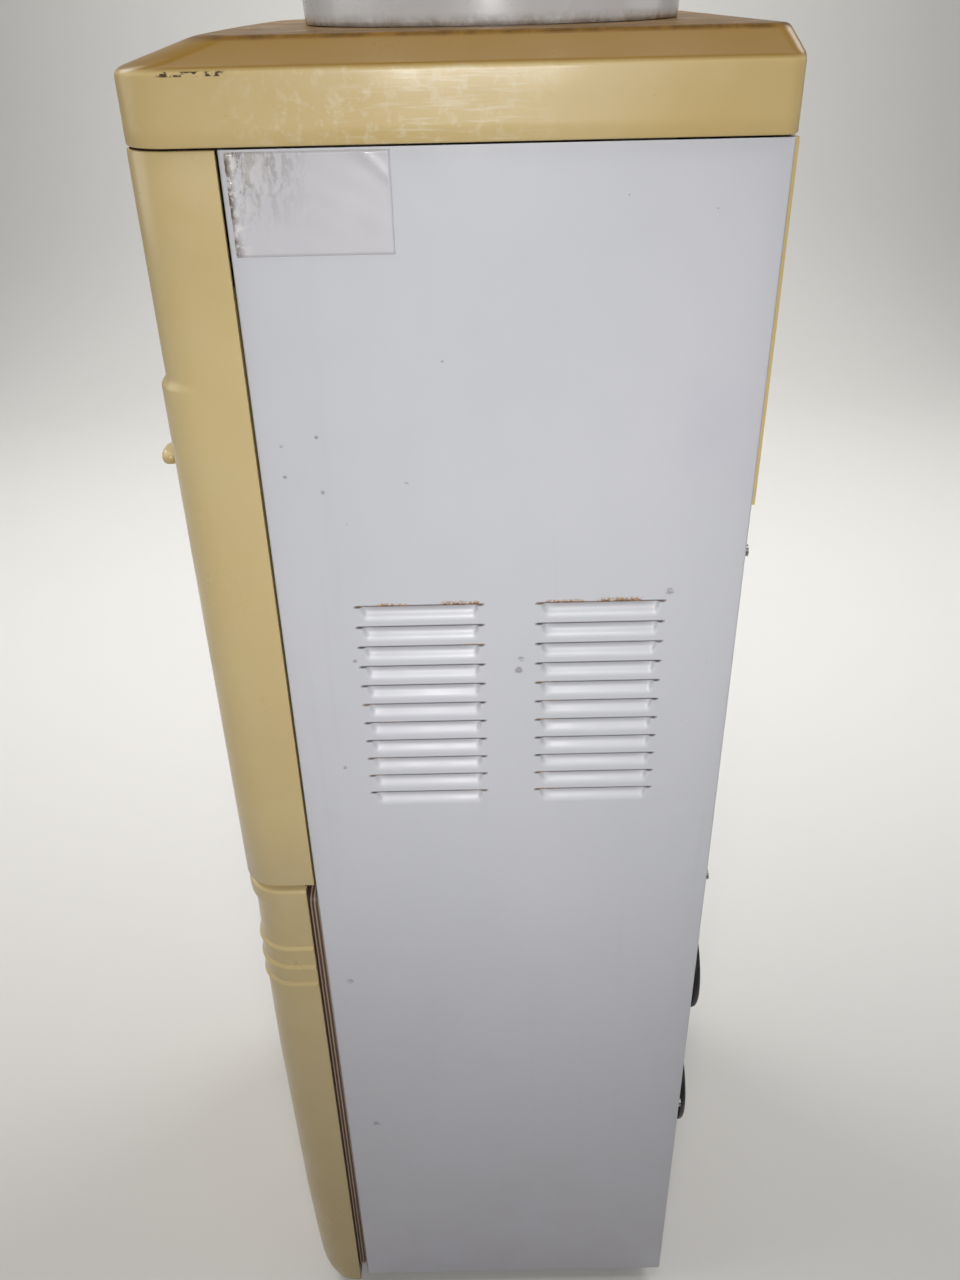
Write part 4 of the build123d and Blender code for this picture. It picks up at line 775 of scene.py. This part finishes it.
RUST_SPOTS = (
    # column, row from the top, from and to along the louvre, strength, reach above the slit in mm
    (0, 0, 0.00, 0.06, 0.9, 0.8), (0, 0, 0.16, 0.38, 1.0, 2.6), (0, 0, 0.46, 0.58, 0.7, 0.9),
    (0, 0, 0.70, 0.98, 1.0, 3.6), (0, 2, 0.84, 1.00, 0.8, 1.6), (0, 5, 0.00, 0.05, 0.8, 0.6),
    (0, 6, 0.12, 0.30, 0.7, 0.7), (0, 8, 0.00, 0.20, 0.8, 0.6), (0, 9, 0.00, 0.08, 0.9, 0.6),
    (0, 10, 0.86, 1.00, 0.9, 0.6), (1, 0, 0.00, 0.04, 0.9, 0.8), (1, 0, 0.06, 0.34, 1.0, 2.8),
    (1, 0, 0.50, 0.82, 1.0, 3.8), (1, 4, 0.00, 0.07, 1.0, 0.8), (1, 5, 0.00, 0.13, 0.9, 0.7),
    (1, 6, 0.00, 0.16, 0.8, 0.7), (1, 9, 0.00, 0.09, 0.8, 0.7), (1, 10, 0.00, 0.16, 1.0, 1.2),
)
SPOT_FADE = 0.03


def spot_wear(column, row, share, above):
    """Strength of the rust at one place on a slit."""
    value = 0.34 * max(0.0, 1 - abs(above) / MM) if row == 0 else 0.0
    for spot_column, spot_row, start, end, strength, reach in RUST_SPOTS:
        if (spot_column, spot_row) == (column, row):
            rise = min(1.0, max(0.0, (share - start) / SPOT_FADE + 1))
            fall = min(1.0, max(0.0, (end - share) / SPOT_FADE + 1))
            near = max(0.0, 1 - above / (reach * MM) if above > 0 else 1 + above / (0.9 * MM))
            value = max(value, strength * rise * fall * near)
    return value


def mark_wear(obj, side):
    """Where rust may show along the slits, and a value for the darkening at them: a dark line at each torn edge,
    partly dirt and partly painted shadow of the lip, and painted shade over the pocket's flat below it.
    """
    wear = obj.data.attributes.new("wear", "FLOAT", "POINT")
    dark = obj.data.attributes.new("slit", "FLOAT", "POINT")
    for index, vertex in enumerate(obj.data.vertices):
        row = round((LOUVRE_TOP - vertex.co.z) / LOUVRE_PITCH)
        if side * vertex.co.x < FACE - 5 * MM or not 0 <= row < LOUVRE_ROWS:
            continue
        above = vertex.co.z - (LOUVRE_TOP - row * LOUVRE_PITCH)
        for column, span in enumerate(LOUVRE_SPANS):
            share = (vertex.co.y - EDGE - span[0]) / (span[1] - span[0])
            if not -0.015 <= share <= 1.015:
                continue
            wear.data[index].value = spot_wear(column, row, share, above)
            # The slit value: the dark line at the torn edge, then painted shade fading down the pocket's flat, weaker
            # toward the pocket's ends.
            inner = min(1.0, max(0.0, min(share, 1 - share)) / 0.10)
            edge = 1 - above / (0.9 * MM)
            if above < 0:
                edge = max(1 + above / (1.4 * MM), (0.3 + 0.3 * above / (5.6 * MM)) * inner)
            dark.data[index].value = max(0.0, edge)


def side_sheet(name, side, body, node):
    """A side panel: flat sheet, two rows of louvres, wall thickness and wear."""
    rows = row_tree(name + "_row")
    blocks = [flat_sheet()]
    for span in LOUVRE_SPANS:
        seed = louvre_tile(span)
        start = (FACE, EDGE + span[0] - LOUVRE_MARGIN, LOUVRE_ZONE)
        blocks.append(row_of("louvre_row", rows, {"Seed piece": seed, "Count": LOUVRE_ROWS, "Start": start,
                                                  "Step": (0, 0, LOUVRE_PITCH), "Finish": PAINT}))
        bpy.data.objects.remove(seed)
    panel = joined(name, blocks)
    if side < 0:
        for vertex in panel.data.vertices:
            vertex.co.x = -vertex.co.x
    clean(panel, 0.01 * MM)
    turn_out(panel, 0, side)
    shell(panel, SHEET)
    shade_by_angle(panel, 50)
    mark_wear(panel, side)
    return put(panel, body, node, PAINT)


side_sheet("side_sheet_right", 1, "cabinet", "side_panel_right")
side_sheet("side_sheet_left", -1, "cabinet", "side_panel_left")


# ---- top cover
SHOULDER_SIDE = 13 * MM
SHOULDER_FRONT = 36 * MM
SHOULDER_REAR = 6 * MM


def closed_plan(half, front, rear, radius, rear_radius):
    """Closed plan of the cover, from the right rear corner round the front and back along the rear."""
    steps = 6
    x = half - rear_radius
    y = rear - rear_radius
    quarter = [math.pi / 2 * step / steps for step in range(steps + 1)]
    left = [(-x - rear_radius * math.cos(a), y + rear_radius * math.sin(a)) for a in quarter[1:]]
    right = [(x + rear_radius * math.sin(a), y + rear_radius * math.cos(a)) for a in quarter[:-1]]
    back = [(-x + 2 * x * step / (2 * steps), rear) for step in range(1, 2 * steps)]
    return front_plan(half, y, EDGE - front, radius) + left + back + right


def cover_ring(inset, shoulder, z):
    """One level of the cover: inset all round, plus a share of the shoulder."""
    half = cover_high.x - inset - SHOULDER_SIDE * shoulder
    front = cover_low.y + inset + SHOULDER_FRONT * shoulder
    rear = cover_high.y - inset - SHOULDER_REAR * shoulder
    return lift(closed_plan(half, front, rear, CORNER - inset, 8 * MM - min(inset, 3 * MM)), z)


def top_cover():
    """Cover with a sloping shoulder, drawn in at the top to the collar's hole."""
    low = cover_low.z
    high = cover_high.z
    ledge = high - 12 * MM
    levels = [(1.2, 0, low), (0.4, 0, low + 0.25 * MM), (0.0, 0, low + 1.1 * MM), (0.0, 0, low + 8 * MM),
              (0.0, 0, ledge - 12 * MM)]
    shares = [step / 6 for step in range(7)]
    levels += [(0.0, 0.15 * t ** 2, ledge + (1.8 * t ** 2 - 2.7 * (1 - t) ** 2) * MM) for t in shares]
    levels.append((0.0, 0.5, ledge + 6.0 * MM))
    levels += [(2.6 * t ** 2, 1 - 0.16 * (1 - t) ** 2, high - 1.9 * (1 - t) ** 2 * MM) for t in shares]
    rings = [cover_ring(inset * MM, share, z) for inset, share, z in levels]
    middle = Vector((0, COLLAR_Y, high))
    away = [Vector((point.x, point.y - COLLAR_Y, 0)) for point in rings[-1]]
    hole = collar_high.x - 12 * MM
    rings += [[middle + v.lerp(v.normalized() * hole, blend) for v in away] for blend in (0.12, 0.35, 0.7, 1.0)]
    cover = skin("cover_moulding", rings)
    shell(cover, WALL)
    shade_by_angle(cover, 60)
    return put(cover, "cabinet", "top_cover", BEIGE_COVER)


top_cover()


# ---- upper front panel
def panel_ring(inset, reach, z):
    """One level of the front panel."""
    half = front_high.x - inset
    return lift(front_plan(half, front_high.y - 1 * MM, reach * MM - inset, CORNER - inset), z)


def closing_ring(ring, share, z):
    """The last ring drawn in towards the back, which closes an end with a flat lid."""
    back = ring[0].y
    return [Vector((point.x * (1 - share * 0.02), point.y + (back - point.y) * share, z)) for point in ring]


def front_moulding():
    """Upper front: a step across it, the alcove's window, three lamp holes and lips behind its rear seams."""
    step = BASE + 803 * MM
    low = front_low.z
    high = front_high.z
    levels = (
        (low, ((1.4, 51.5, 0), (0.45, 51.5, 0.35), (0, 51.5, 1.3), (0, 51.5, 60), (0, 51.5, 180))),
        (step, ((0, 51.5, -60), (0, 51.5, -2.2), (0, 51.3, -1.0), (0, 50.8, -0.2), (0, 49.4, 1.4), (0, 48.8, 2.4),
                (0, 48.5, 4.5), (0, 48.5, 60))),
        (high, ((0, 48.5, -1.2), (0.4, 48.5, -0.3), (1.2, 48.5, 0))),
    )
    rings = [panel_ring(inset * MM, reach, base + rise * MM) for base, rows in levels for inset, reach, rise in rows]
    foot = [closing_ring(rings[0], share, low) for share in (0.9, 0.5, 0.15)]
    panel = skin("front_moulding", foot + rings, closed=False)
    turn_out(panel, 1, -1)
    shell(panel, WALL)
    over = 0.4 * MM
    carve(panel, rounded_block("window", alcove_high.x - over, front_low.y - 20 * MM, EDGE - 22 * MM,
                               alcove_low.z + over, alcove_high.z - over, 14 * MM, 8))
    for x in (-22, 0, 22):
        carve(panel, disc_y("lamp_hole", x * MM, BASE + 857 * MM, 3.2 * MM, front_low.y - 10 * MM, EDGE - 30 * MM))
    parts = [panel]
    for side in (-1, 1):
        lip = rounded_block("seam_lip", 6 * MM, EDGE - 2.5 * MM, EDGE - 1.4 * MM,
                            alcove_low.z - 20 * MM, alcove_high.z + 80 * MM, 0.4 * MM, 2)
        for vertex in lip.data.vertices:
            vertex.co.x += side * (FACE - 8.2 * MM)
        parts.append(lip)
    panel = shade_by_angle(joined("front_moulding", parts), 42)
    return put(panel, "cabinet", "front_panel", BEIGE_FRONT)


def rounded_block(name, half, y0, y1, z0, z1, radius, steps):
    """A rounded rectangle in X and Z, from y0 to y1."""
    plan = rounded_plan(half, z0, z1, radius, steps)
    return skin(name, [[Vector((x, y, z)) for x, z in plan] for y in (y0, y1)], capped=True)


def disc_y(name, x, z, radius, y0, y1):
    """A round plug along Y."""
    plan = circle(radius, 24)
    return skin(name, [[Vector((x + a, y, z + b)) for a, b in plan] for y in (y0, y1)], capped=True)


def carve(obj, cutter):
    """Cuts one piece out of another and removes the cutter."""
    cut = obj.modifiers.new("cut", "BOOLEAN")
    cut.operation = "DIFFERENCE"
    cut.solver = "EXACT"
    cut.object = cutter
    settle(obj)
    bpy.data.objects.remove(cutter)


front_moulding()


# ---- tap levers
LEVER_PIN = Vector((0, -0.12655, 0.763))
PIN_BORE = 2.2 * MM


def side_prism(name, outline, x0, x1):
    """A convex outline in Y and Z, from x0 to x1."""
    return skin(name, [[Vector((x, y, z)) for y, z in outline] for x in (x0, x1)], capped=True)


def signed_power(value, power):
    return math.copysign(abs(value) ** power, value)


def pebble(name, centre, reach, rounds=16, steps=28):
    """A block rounded so far that no edge is left."""
    rings = []
    for turn in range(1, rounds):
        up = signed_power(math.cos(math.pi * turn / rounds), 0.8)
        out = math.sin(math.pi * turn / rounds) ** 0.7
        rings.append([centre + Vector((reach[0] * out * signed_power(a, 0.62), reach[1] * out * signed_power(b, 0.8),
                                       reach[2] * up)) for a, b in circle(1.0, steps)])
    return skin(name, rings, capped=True)


def pin_boss(x0, x1, radius):
    """A ring round the lever's pin."""
    corners = ((x0, radius), (x1, radius), (x1, PIN_BORE), (x0, PIN_BORE), (x0, radius))
    return skin("lever_boss", [[Vector((x, LEVER_PIN.y + a, LEVER_PIN.z + b)) for a, b in circle(reach, 24)]
                               for x, reach in corners])


def press_lever(node, body):
    """Lever on its pin: forked head under the valve stem, drooping arm, smooth tip."""
    low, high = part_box(node)
    x = (low.x + high.x) / 2
    y, z = LEVER_PIN.y, LEVER_PIN.z
    half = 7.8 * MM
    slot = 3.3 * MM
    tip = Vector((x, low.y + 8.9 * MM, low.z + 7.5 * MM))
    arm = [(y - 3 * MM, z + 3.2 * MM), (y - 8 * MM, z + 3.0 * MM), (tip.y + 5 * MM, tip.z + 5.2 * MM),
           (tip.y - 1 * MM, tip.z + 3.2 * MM), (tip.y - 1 * MM, tip.z - 2.6 * MM), (y - 8 * MM, z - 2.6 * MM),
           (y - 3 * MM, z - 2.8 * MM)]
    pieces = [soften(side_prism("lever_arm", arm, x - half, x + half), 1.2 * MM, 3, 20),
              pin_boss(x - half, x + half, 5 * MM)]
    root, under, over = y + 3 * MM, z - 2 * MM, z + 3.7 * MM
    for part, end, x0, x1 in (("base", 7.5, x - half, x + half), ("prong_right", 18, x + slot, x + half),
                              ("prong_left", 18, x - half, x - slot)):
        outline = [(root, under), (root, over), (y + end * MM, over), (y + end * MM, under)]
        pieces.append(soften(side_prism("lever_" + part, outline, x0, x1), 0.5 * MM))
    pieces.append(pebble("lever_tip", tip, (11.5 * MM, 5.4 * MM, 5.0 * MM)))
    lever = shade_by_angle(joined(node + "_dressed", pieces), 50)
    return put(lever, body, node, BEIGE)


press_lever("hot_tap_lever", "hot_lever")
press_lever("cold_tap_lever", "cold_lever")


# ---- door
RIDGES = (427 * MM, 409 * MM, 392 * MM)
RIDGE_OUT = 1.7 * MM
RIDGE_SHARE = 0.55
RIDGE_ROWS = (7.5, 5.6, 5.2, 4.8, 4.4, 3.9, 3.4, 2.9, 2.3, 1.7, 1.1, 0.5, 0.0, -0.4, -2.0)
DOOR_PROFILE = ((0, 35), (6, 38), (18, 43), (37, 45), (127, 48), (320, 50.5), (415, 49.4), (452, 48.3),
                (463.2, 48.3), (463.8, 48.9), (465, 49.9), (467.5, 50.7), (470.5, 51.0), (478, 51.0))
DOOR_ROUND = 2.4 * MM
DOOR_BACK = EDGE - 7 * MM


def ridge_push(z):
    """How proud the ridges stand at a height: a bead that rises softly from above and returns sharply."""
    for top in RIDGES:
        crest = top - 3.4 * MM
        foot = top - 4.4 * MM
        heel = top - 5.2 * MM
        if crest <= z <= top:
            return RIDGE_OUT * math.sin((top - z) / (top - crest) * math.pi / 2) ** 1.4
        if foot <= z < crest:
            return RIDGE_OUT * (RIDGE_SHARE + (1 - RIDGE_SHARE) * (z - foot) / (crest - foot))
        if heel < z < foot:
            return RIDGE_OUT * RIDGE_SHARE * (z - heel) / (foot - heel)
    return 0.0


def door_reach(z):
    """Reach of the door's front past the panel edge, by height."""
    level = z / MM
    for (a, reach_a), (b, reach_b) in zip(DOOR_PROFILE, DOOR_PROFILE[1:]):
        if level <= b:
            return (reach_a + (reach_b - reach_a) * (max(level, a) - a) / (b - a)) * MM
    return reach_b * MM


def door_ring(z, inset=0.0):
    """One level of the door, pushed out by a ridge or drawn in by an inset."""
    push = ridge_push(z) - inset
    return lift(front_plan(front_high.x + push, DOOR_BACK, door_reach(z) + push, CORNER + push, side_steps=4), z)


def door_moulding():
    """Hollow door: swelling front, three ridges, a finger lip and a rounded top."""
    low = door_low.z
    high = door_high.z
    levels = [low + drop * MM for drop in (1.3, 4, 9, 16, 26, 40, *range(60, 301, 30))]
    levels += [top - drop * MM for top in RIDGES for drop in RIDGE_ROWS]
    levels += [z * MM for z in (350, 370, 380, 435, 441, 447, 453, 459, 462.6, 463.2, 463.8, 464.4, 465, 466.2, 467.5,
                                469, 470.5, 473)]
    levels = sorted(set(z for z in levels if low + 1 * MM < z < high - 2.8 * MM))
    rings = [door_ring(low, 1.3 * MM), door_ring(low + 0.4 * MM, 0.4 * MM)]
    rings += [door_ring(z) for z in levels]
    for turn in range(6):
        angle = math.pi / 2 * turn / 5
        rings.append(door_ring(high - (1 - math.sin(angle)) * DOOR_ROUND, (1 - math.cos(angle)) * DOOR_ROUND))
    foot = [closing_ring(rings[0], share, low) for share in (0.92, 0.6, 0.25)]
    lid = [closing_ring(rings[-1], share, high) for share in (0.25, 0.6, 0.92)]
    door = skin("door_moulding", foot + rings + lid, closed=False)
    shell(door, WALL)
    shade_by_angle(door, 38)
    return put(door, "door", "door_shell", BEIGE_DOOR)


door_moulding()


# ---- bottle collar
def collar_ring():
    """The grey seat of the bottle: outer wall, rounded lip and the funnel that leads down."""
    top = collar_high.z
    outer = collar_high.x
    seat = cover_high.z
    wall = [(outer - 2.5 * MM, seat + 0.4 * MM, 0), (outer - 2 * MM, seat + 4 * MM, 1.5 * MM),
            (outer, top, 3.2 * MM), (outer - 9 * MM, top, 3.2 * MM), (outer - 11 * MM, seat + 22 * MM, 5 * MM)]
    funnel = [(r * MM, seat + z * MM, size * MM) for r, z, size in
              ((47, 9, 6), (45, -20, 2), (45, -44, 0.6), (48, -44, 0.6), (48, -6, 4))]
    under = [(outer - 7 * MM, seat - 3 * MM, 2 * MM), (outer - 7 * MM, seat + 0.4 * MM, 0.2 * MM), wall[0]]
    rings = [[Vector((a, COLLAR_Y + b, z)) for a, b in circle(radius, 128)]
             for radius, z in rounded(wall + funnel + under)]
    ring = skin("collar_ring", rings + rings[:1])
    return put(ring, "collar", "bottle_collar", GREY)


collar_ring()


# ---- door gasket
def ribbed_gasket():
    """Rectangular seal with rounded ribs along its outer faces."""
    depth = gasket_high.y - gasket_low.y
    half = gasket_high.x + 6 * MM
    section = [(0.0, 0.3), (0.04, 0.0), (0.19, 0.0), (0.24, 0.5), (0.27, 1.5), (0.38, 1.5), (0.41, 0.4), (0.45, 0.0),
               (0.56, 0.0), (0.60, 0.4), (0.63, 1.5), (0.74, 1.5), (0.77, 0.5), (0.81, 0.0), (0.96, 0.0), (1.0, 0.3),
               (1.0, 19.6), (0.6, 18.8), (0.4, 18.8), (0.0, 19.6)]
    rings = []
    for share, tuck in section:
        y = gasket_low.y + share * depth
        inset = tuck * MM
        plan = rounded_plan(half - inset, gasket_low.z + inset, seal_top - inset, 7 * MM - min(inset, 5 * MM), 6)
        rings.append([Vector((x, y, z)) for x, z in plan])
    seal = skin("ribbed_gasket", rings + rings[:1])
    shade_by_angle(seal, 70)
    return put(seal, "door", "door_gasket", GASKET)


ribbed_gasket()


# ---- sticker
def sticker():
    """Blank film on the side, its left edge lifting and one corner creased."""
    y0, z0 = label_low.yz
    y1, z1 = label_high.yz
    across = 48
    up = 32
    chance = random.Random(7)
    edge_lift = [chance.random() for _ in range(up + 1)]
    points = []
    for row in range(up + 1):
        for column in range(across + 1):
            y = y0 + (y1 - y0) * column / across
            z = z0 + (z1 - z0) * row / up
            lift_left = max(0.0, 1 - (y - y0) / (5 * MM)) ** 2 * (0.4 + 0.9 * edge_lift[row]) * MM
            diagonal = ((y1 - y) + (z1 - z)) / (13 * MM)
            crease = 0.55 * MM * math.exp(-((diagonal - 1) * 5) ** 2)
            corner = max(0.0, 1 - diagonal) * 0.5 * MM
            wave = 0.06 * MM * math.sin(z * 240 + y * 120)
            points.append((FACE + 0.18 * MM + lift_left + crease + corner + abs(wave), y, z))
    film = mesh_object("blank_sticker", points, grid(across + 1, up + 1))
    shell(film, 0.14 * MM)
    return put(film, "cabinet", "side_label", FILM)


sticker()


# ---- floor, light, camera
def floor():
    """Pale floor that sweeps up into a far wall on the left."""
    reach = 14.0
    back = 2.2
    sweep = 1.6
    wall = 9.0
    turns = [math.pi / 2 * step / 12 for step in range(13)]
    curve = [(-back - sweep * math.sin(turn), sweep * (1 - math.cos(turn))) for turn in turns]
    profile = [(reach, 0.0), *curve, (-back - sweep, wall)]
    rings = [[Vector((x, y, z)) for y in (-reach, reach)] for x, z in profile]
    ground = mesh_object("studio_floor", *bridge(rings, closed=False))
    color = (222, 220, 216)
    f = Finish("studio_floor", color, Roughness=0.85)
    f.tint(f.patches(0.3, 0.8, 2.0, 3), scaled(color, (0.985, 0.985, 0.985)), 0.5)
    ground.data.materials.append(f.material)


def area_light(name, place, target, size, power, spread, color=(1, 1, 1)):
    """A rectangular lamp at a place, turned to a target."""
    data = bpy.data.lights.new(name, "AREA")
    data.shape = "RECTANGLE"
    data.size, data.size_y = size
    data.energy = power
    data.color = color
    data.spread = math.radians(spread)
    lamp = bpy.data.objects.new(name, data)
    bpy.context.collection.objects.link(lamp)
    aim = (Vector(target) - Vector(place)).to_track_quat("-Z", "Y")
    lamp.matrix_world = Matrix.Translation(place) @ aim.to_matrix().to_4x4()


def sky(color, strength):
    """Even light from all round."""
    world = bpy.data.worlds.new("studio_sky")
    world.use_nodes = True
    inputs = world.node_tree.nodes["Background"].inputs
    inputs["Color"].default_value = (*color, 1)
    inputs["Strength"].default_value = strength
    bpy.context.scene.world = world


def camera():
    """Eye level just above the cabinet, before its right side, looking down."""
    place = Vector((0.6742, 0.01945, 0.9864))
    pitch = math.radians(31.317)
    yaw = math.radians(-0.207)
    roll = math.radians(-1.339)
    level = Vector((-math.cos(yaw), math.sin(yaw), 0))
    right = Vector((math.sin(yaw), math.cos(yaw), 0))
    ahead = level * math.cos(pitch) - Vector((0, 0, math.sin(pitch)))
    above = Vector((0, 0, math.cos(pitch))) + level * math.sin(pitch)
    turned_right = right * math.cos(roll) + above * math.sin(roll)
    turned_up = above * math.cos(roll) - right * math.sin(roll)
    data = bpy.data.cameras.new("eye")
    data.lens = 30.15
    data.sensor_width = 36
    data.clip_start = 0.02
    eye = bpy.data.objects.new("eye", data)
    bpy.context.collection.objects.link(eye)
    turn = Matrix((turned_right, turned_up, -ahead)).transposed()
    eye.matrix_world = Matrix.Translation(place) @ turn.to_4x4()
    bpy.context.scene.camera = eye


floor()
area_light("key", (0.80, 0.02, 1.00), (0.15, 0.03, 0.46), (0.18, 0.18), 2.05, 120, (1.0, 0.99, 0.985))
area_light("front", (0.0, -2.4, 1.4), (0, 0, 0.5), (1.6, 1.8), 6, 140)
area_light("rear", (-0.4, 2.4, 1.5), (0, 0, 0.5), (1.6, 1.8), 5, 140)
area_light("floor_left", (-1.3, -1.9, 2.4), (-0.6, -1.0, 0.0), (1.2, 1.2), 11, 110)
area_light("floor_right", (-1.3, 1.9, 2.4), (-0.6, 1.0, 0.0), (1.2, 1.2), 11, 110)
area_light("backdrop", (-1.4, 0.0, 3.2), (-3.9, 0.0, 0.9), (1.6, 5.0), 60, 125)
sky((0.90, 0.92, 0.96), 0.05)
bpy.context.scene.view_settings.view_transform = "Standard"
camera()
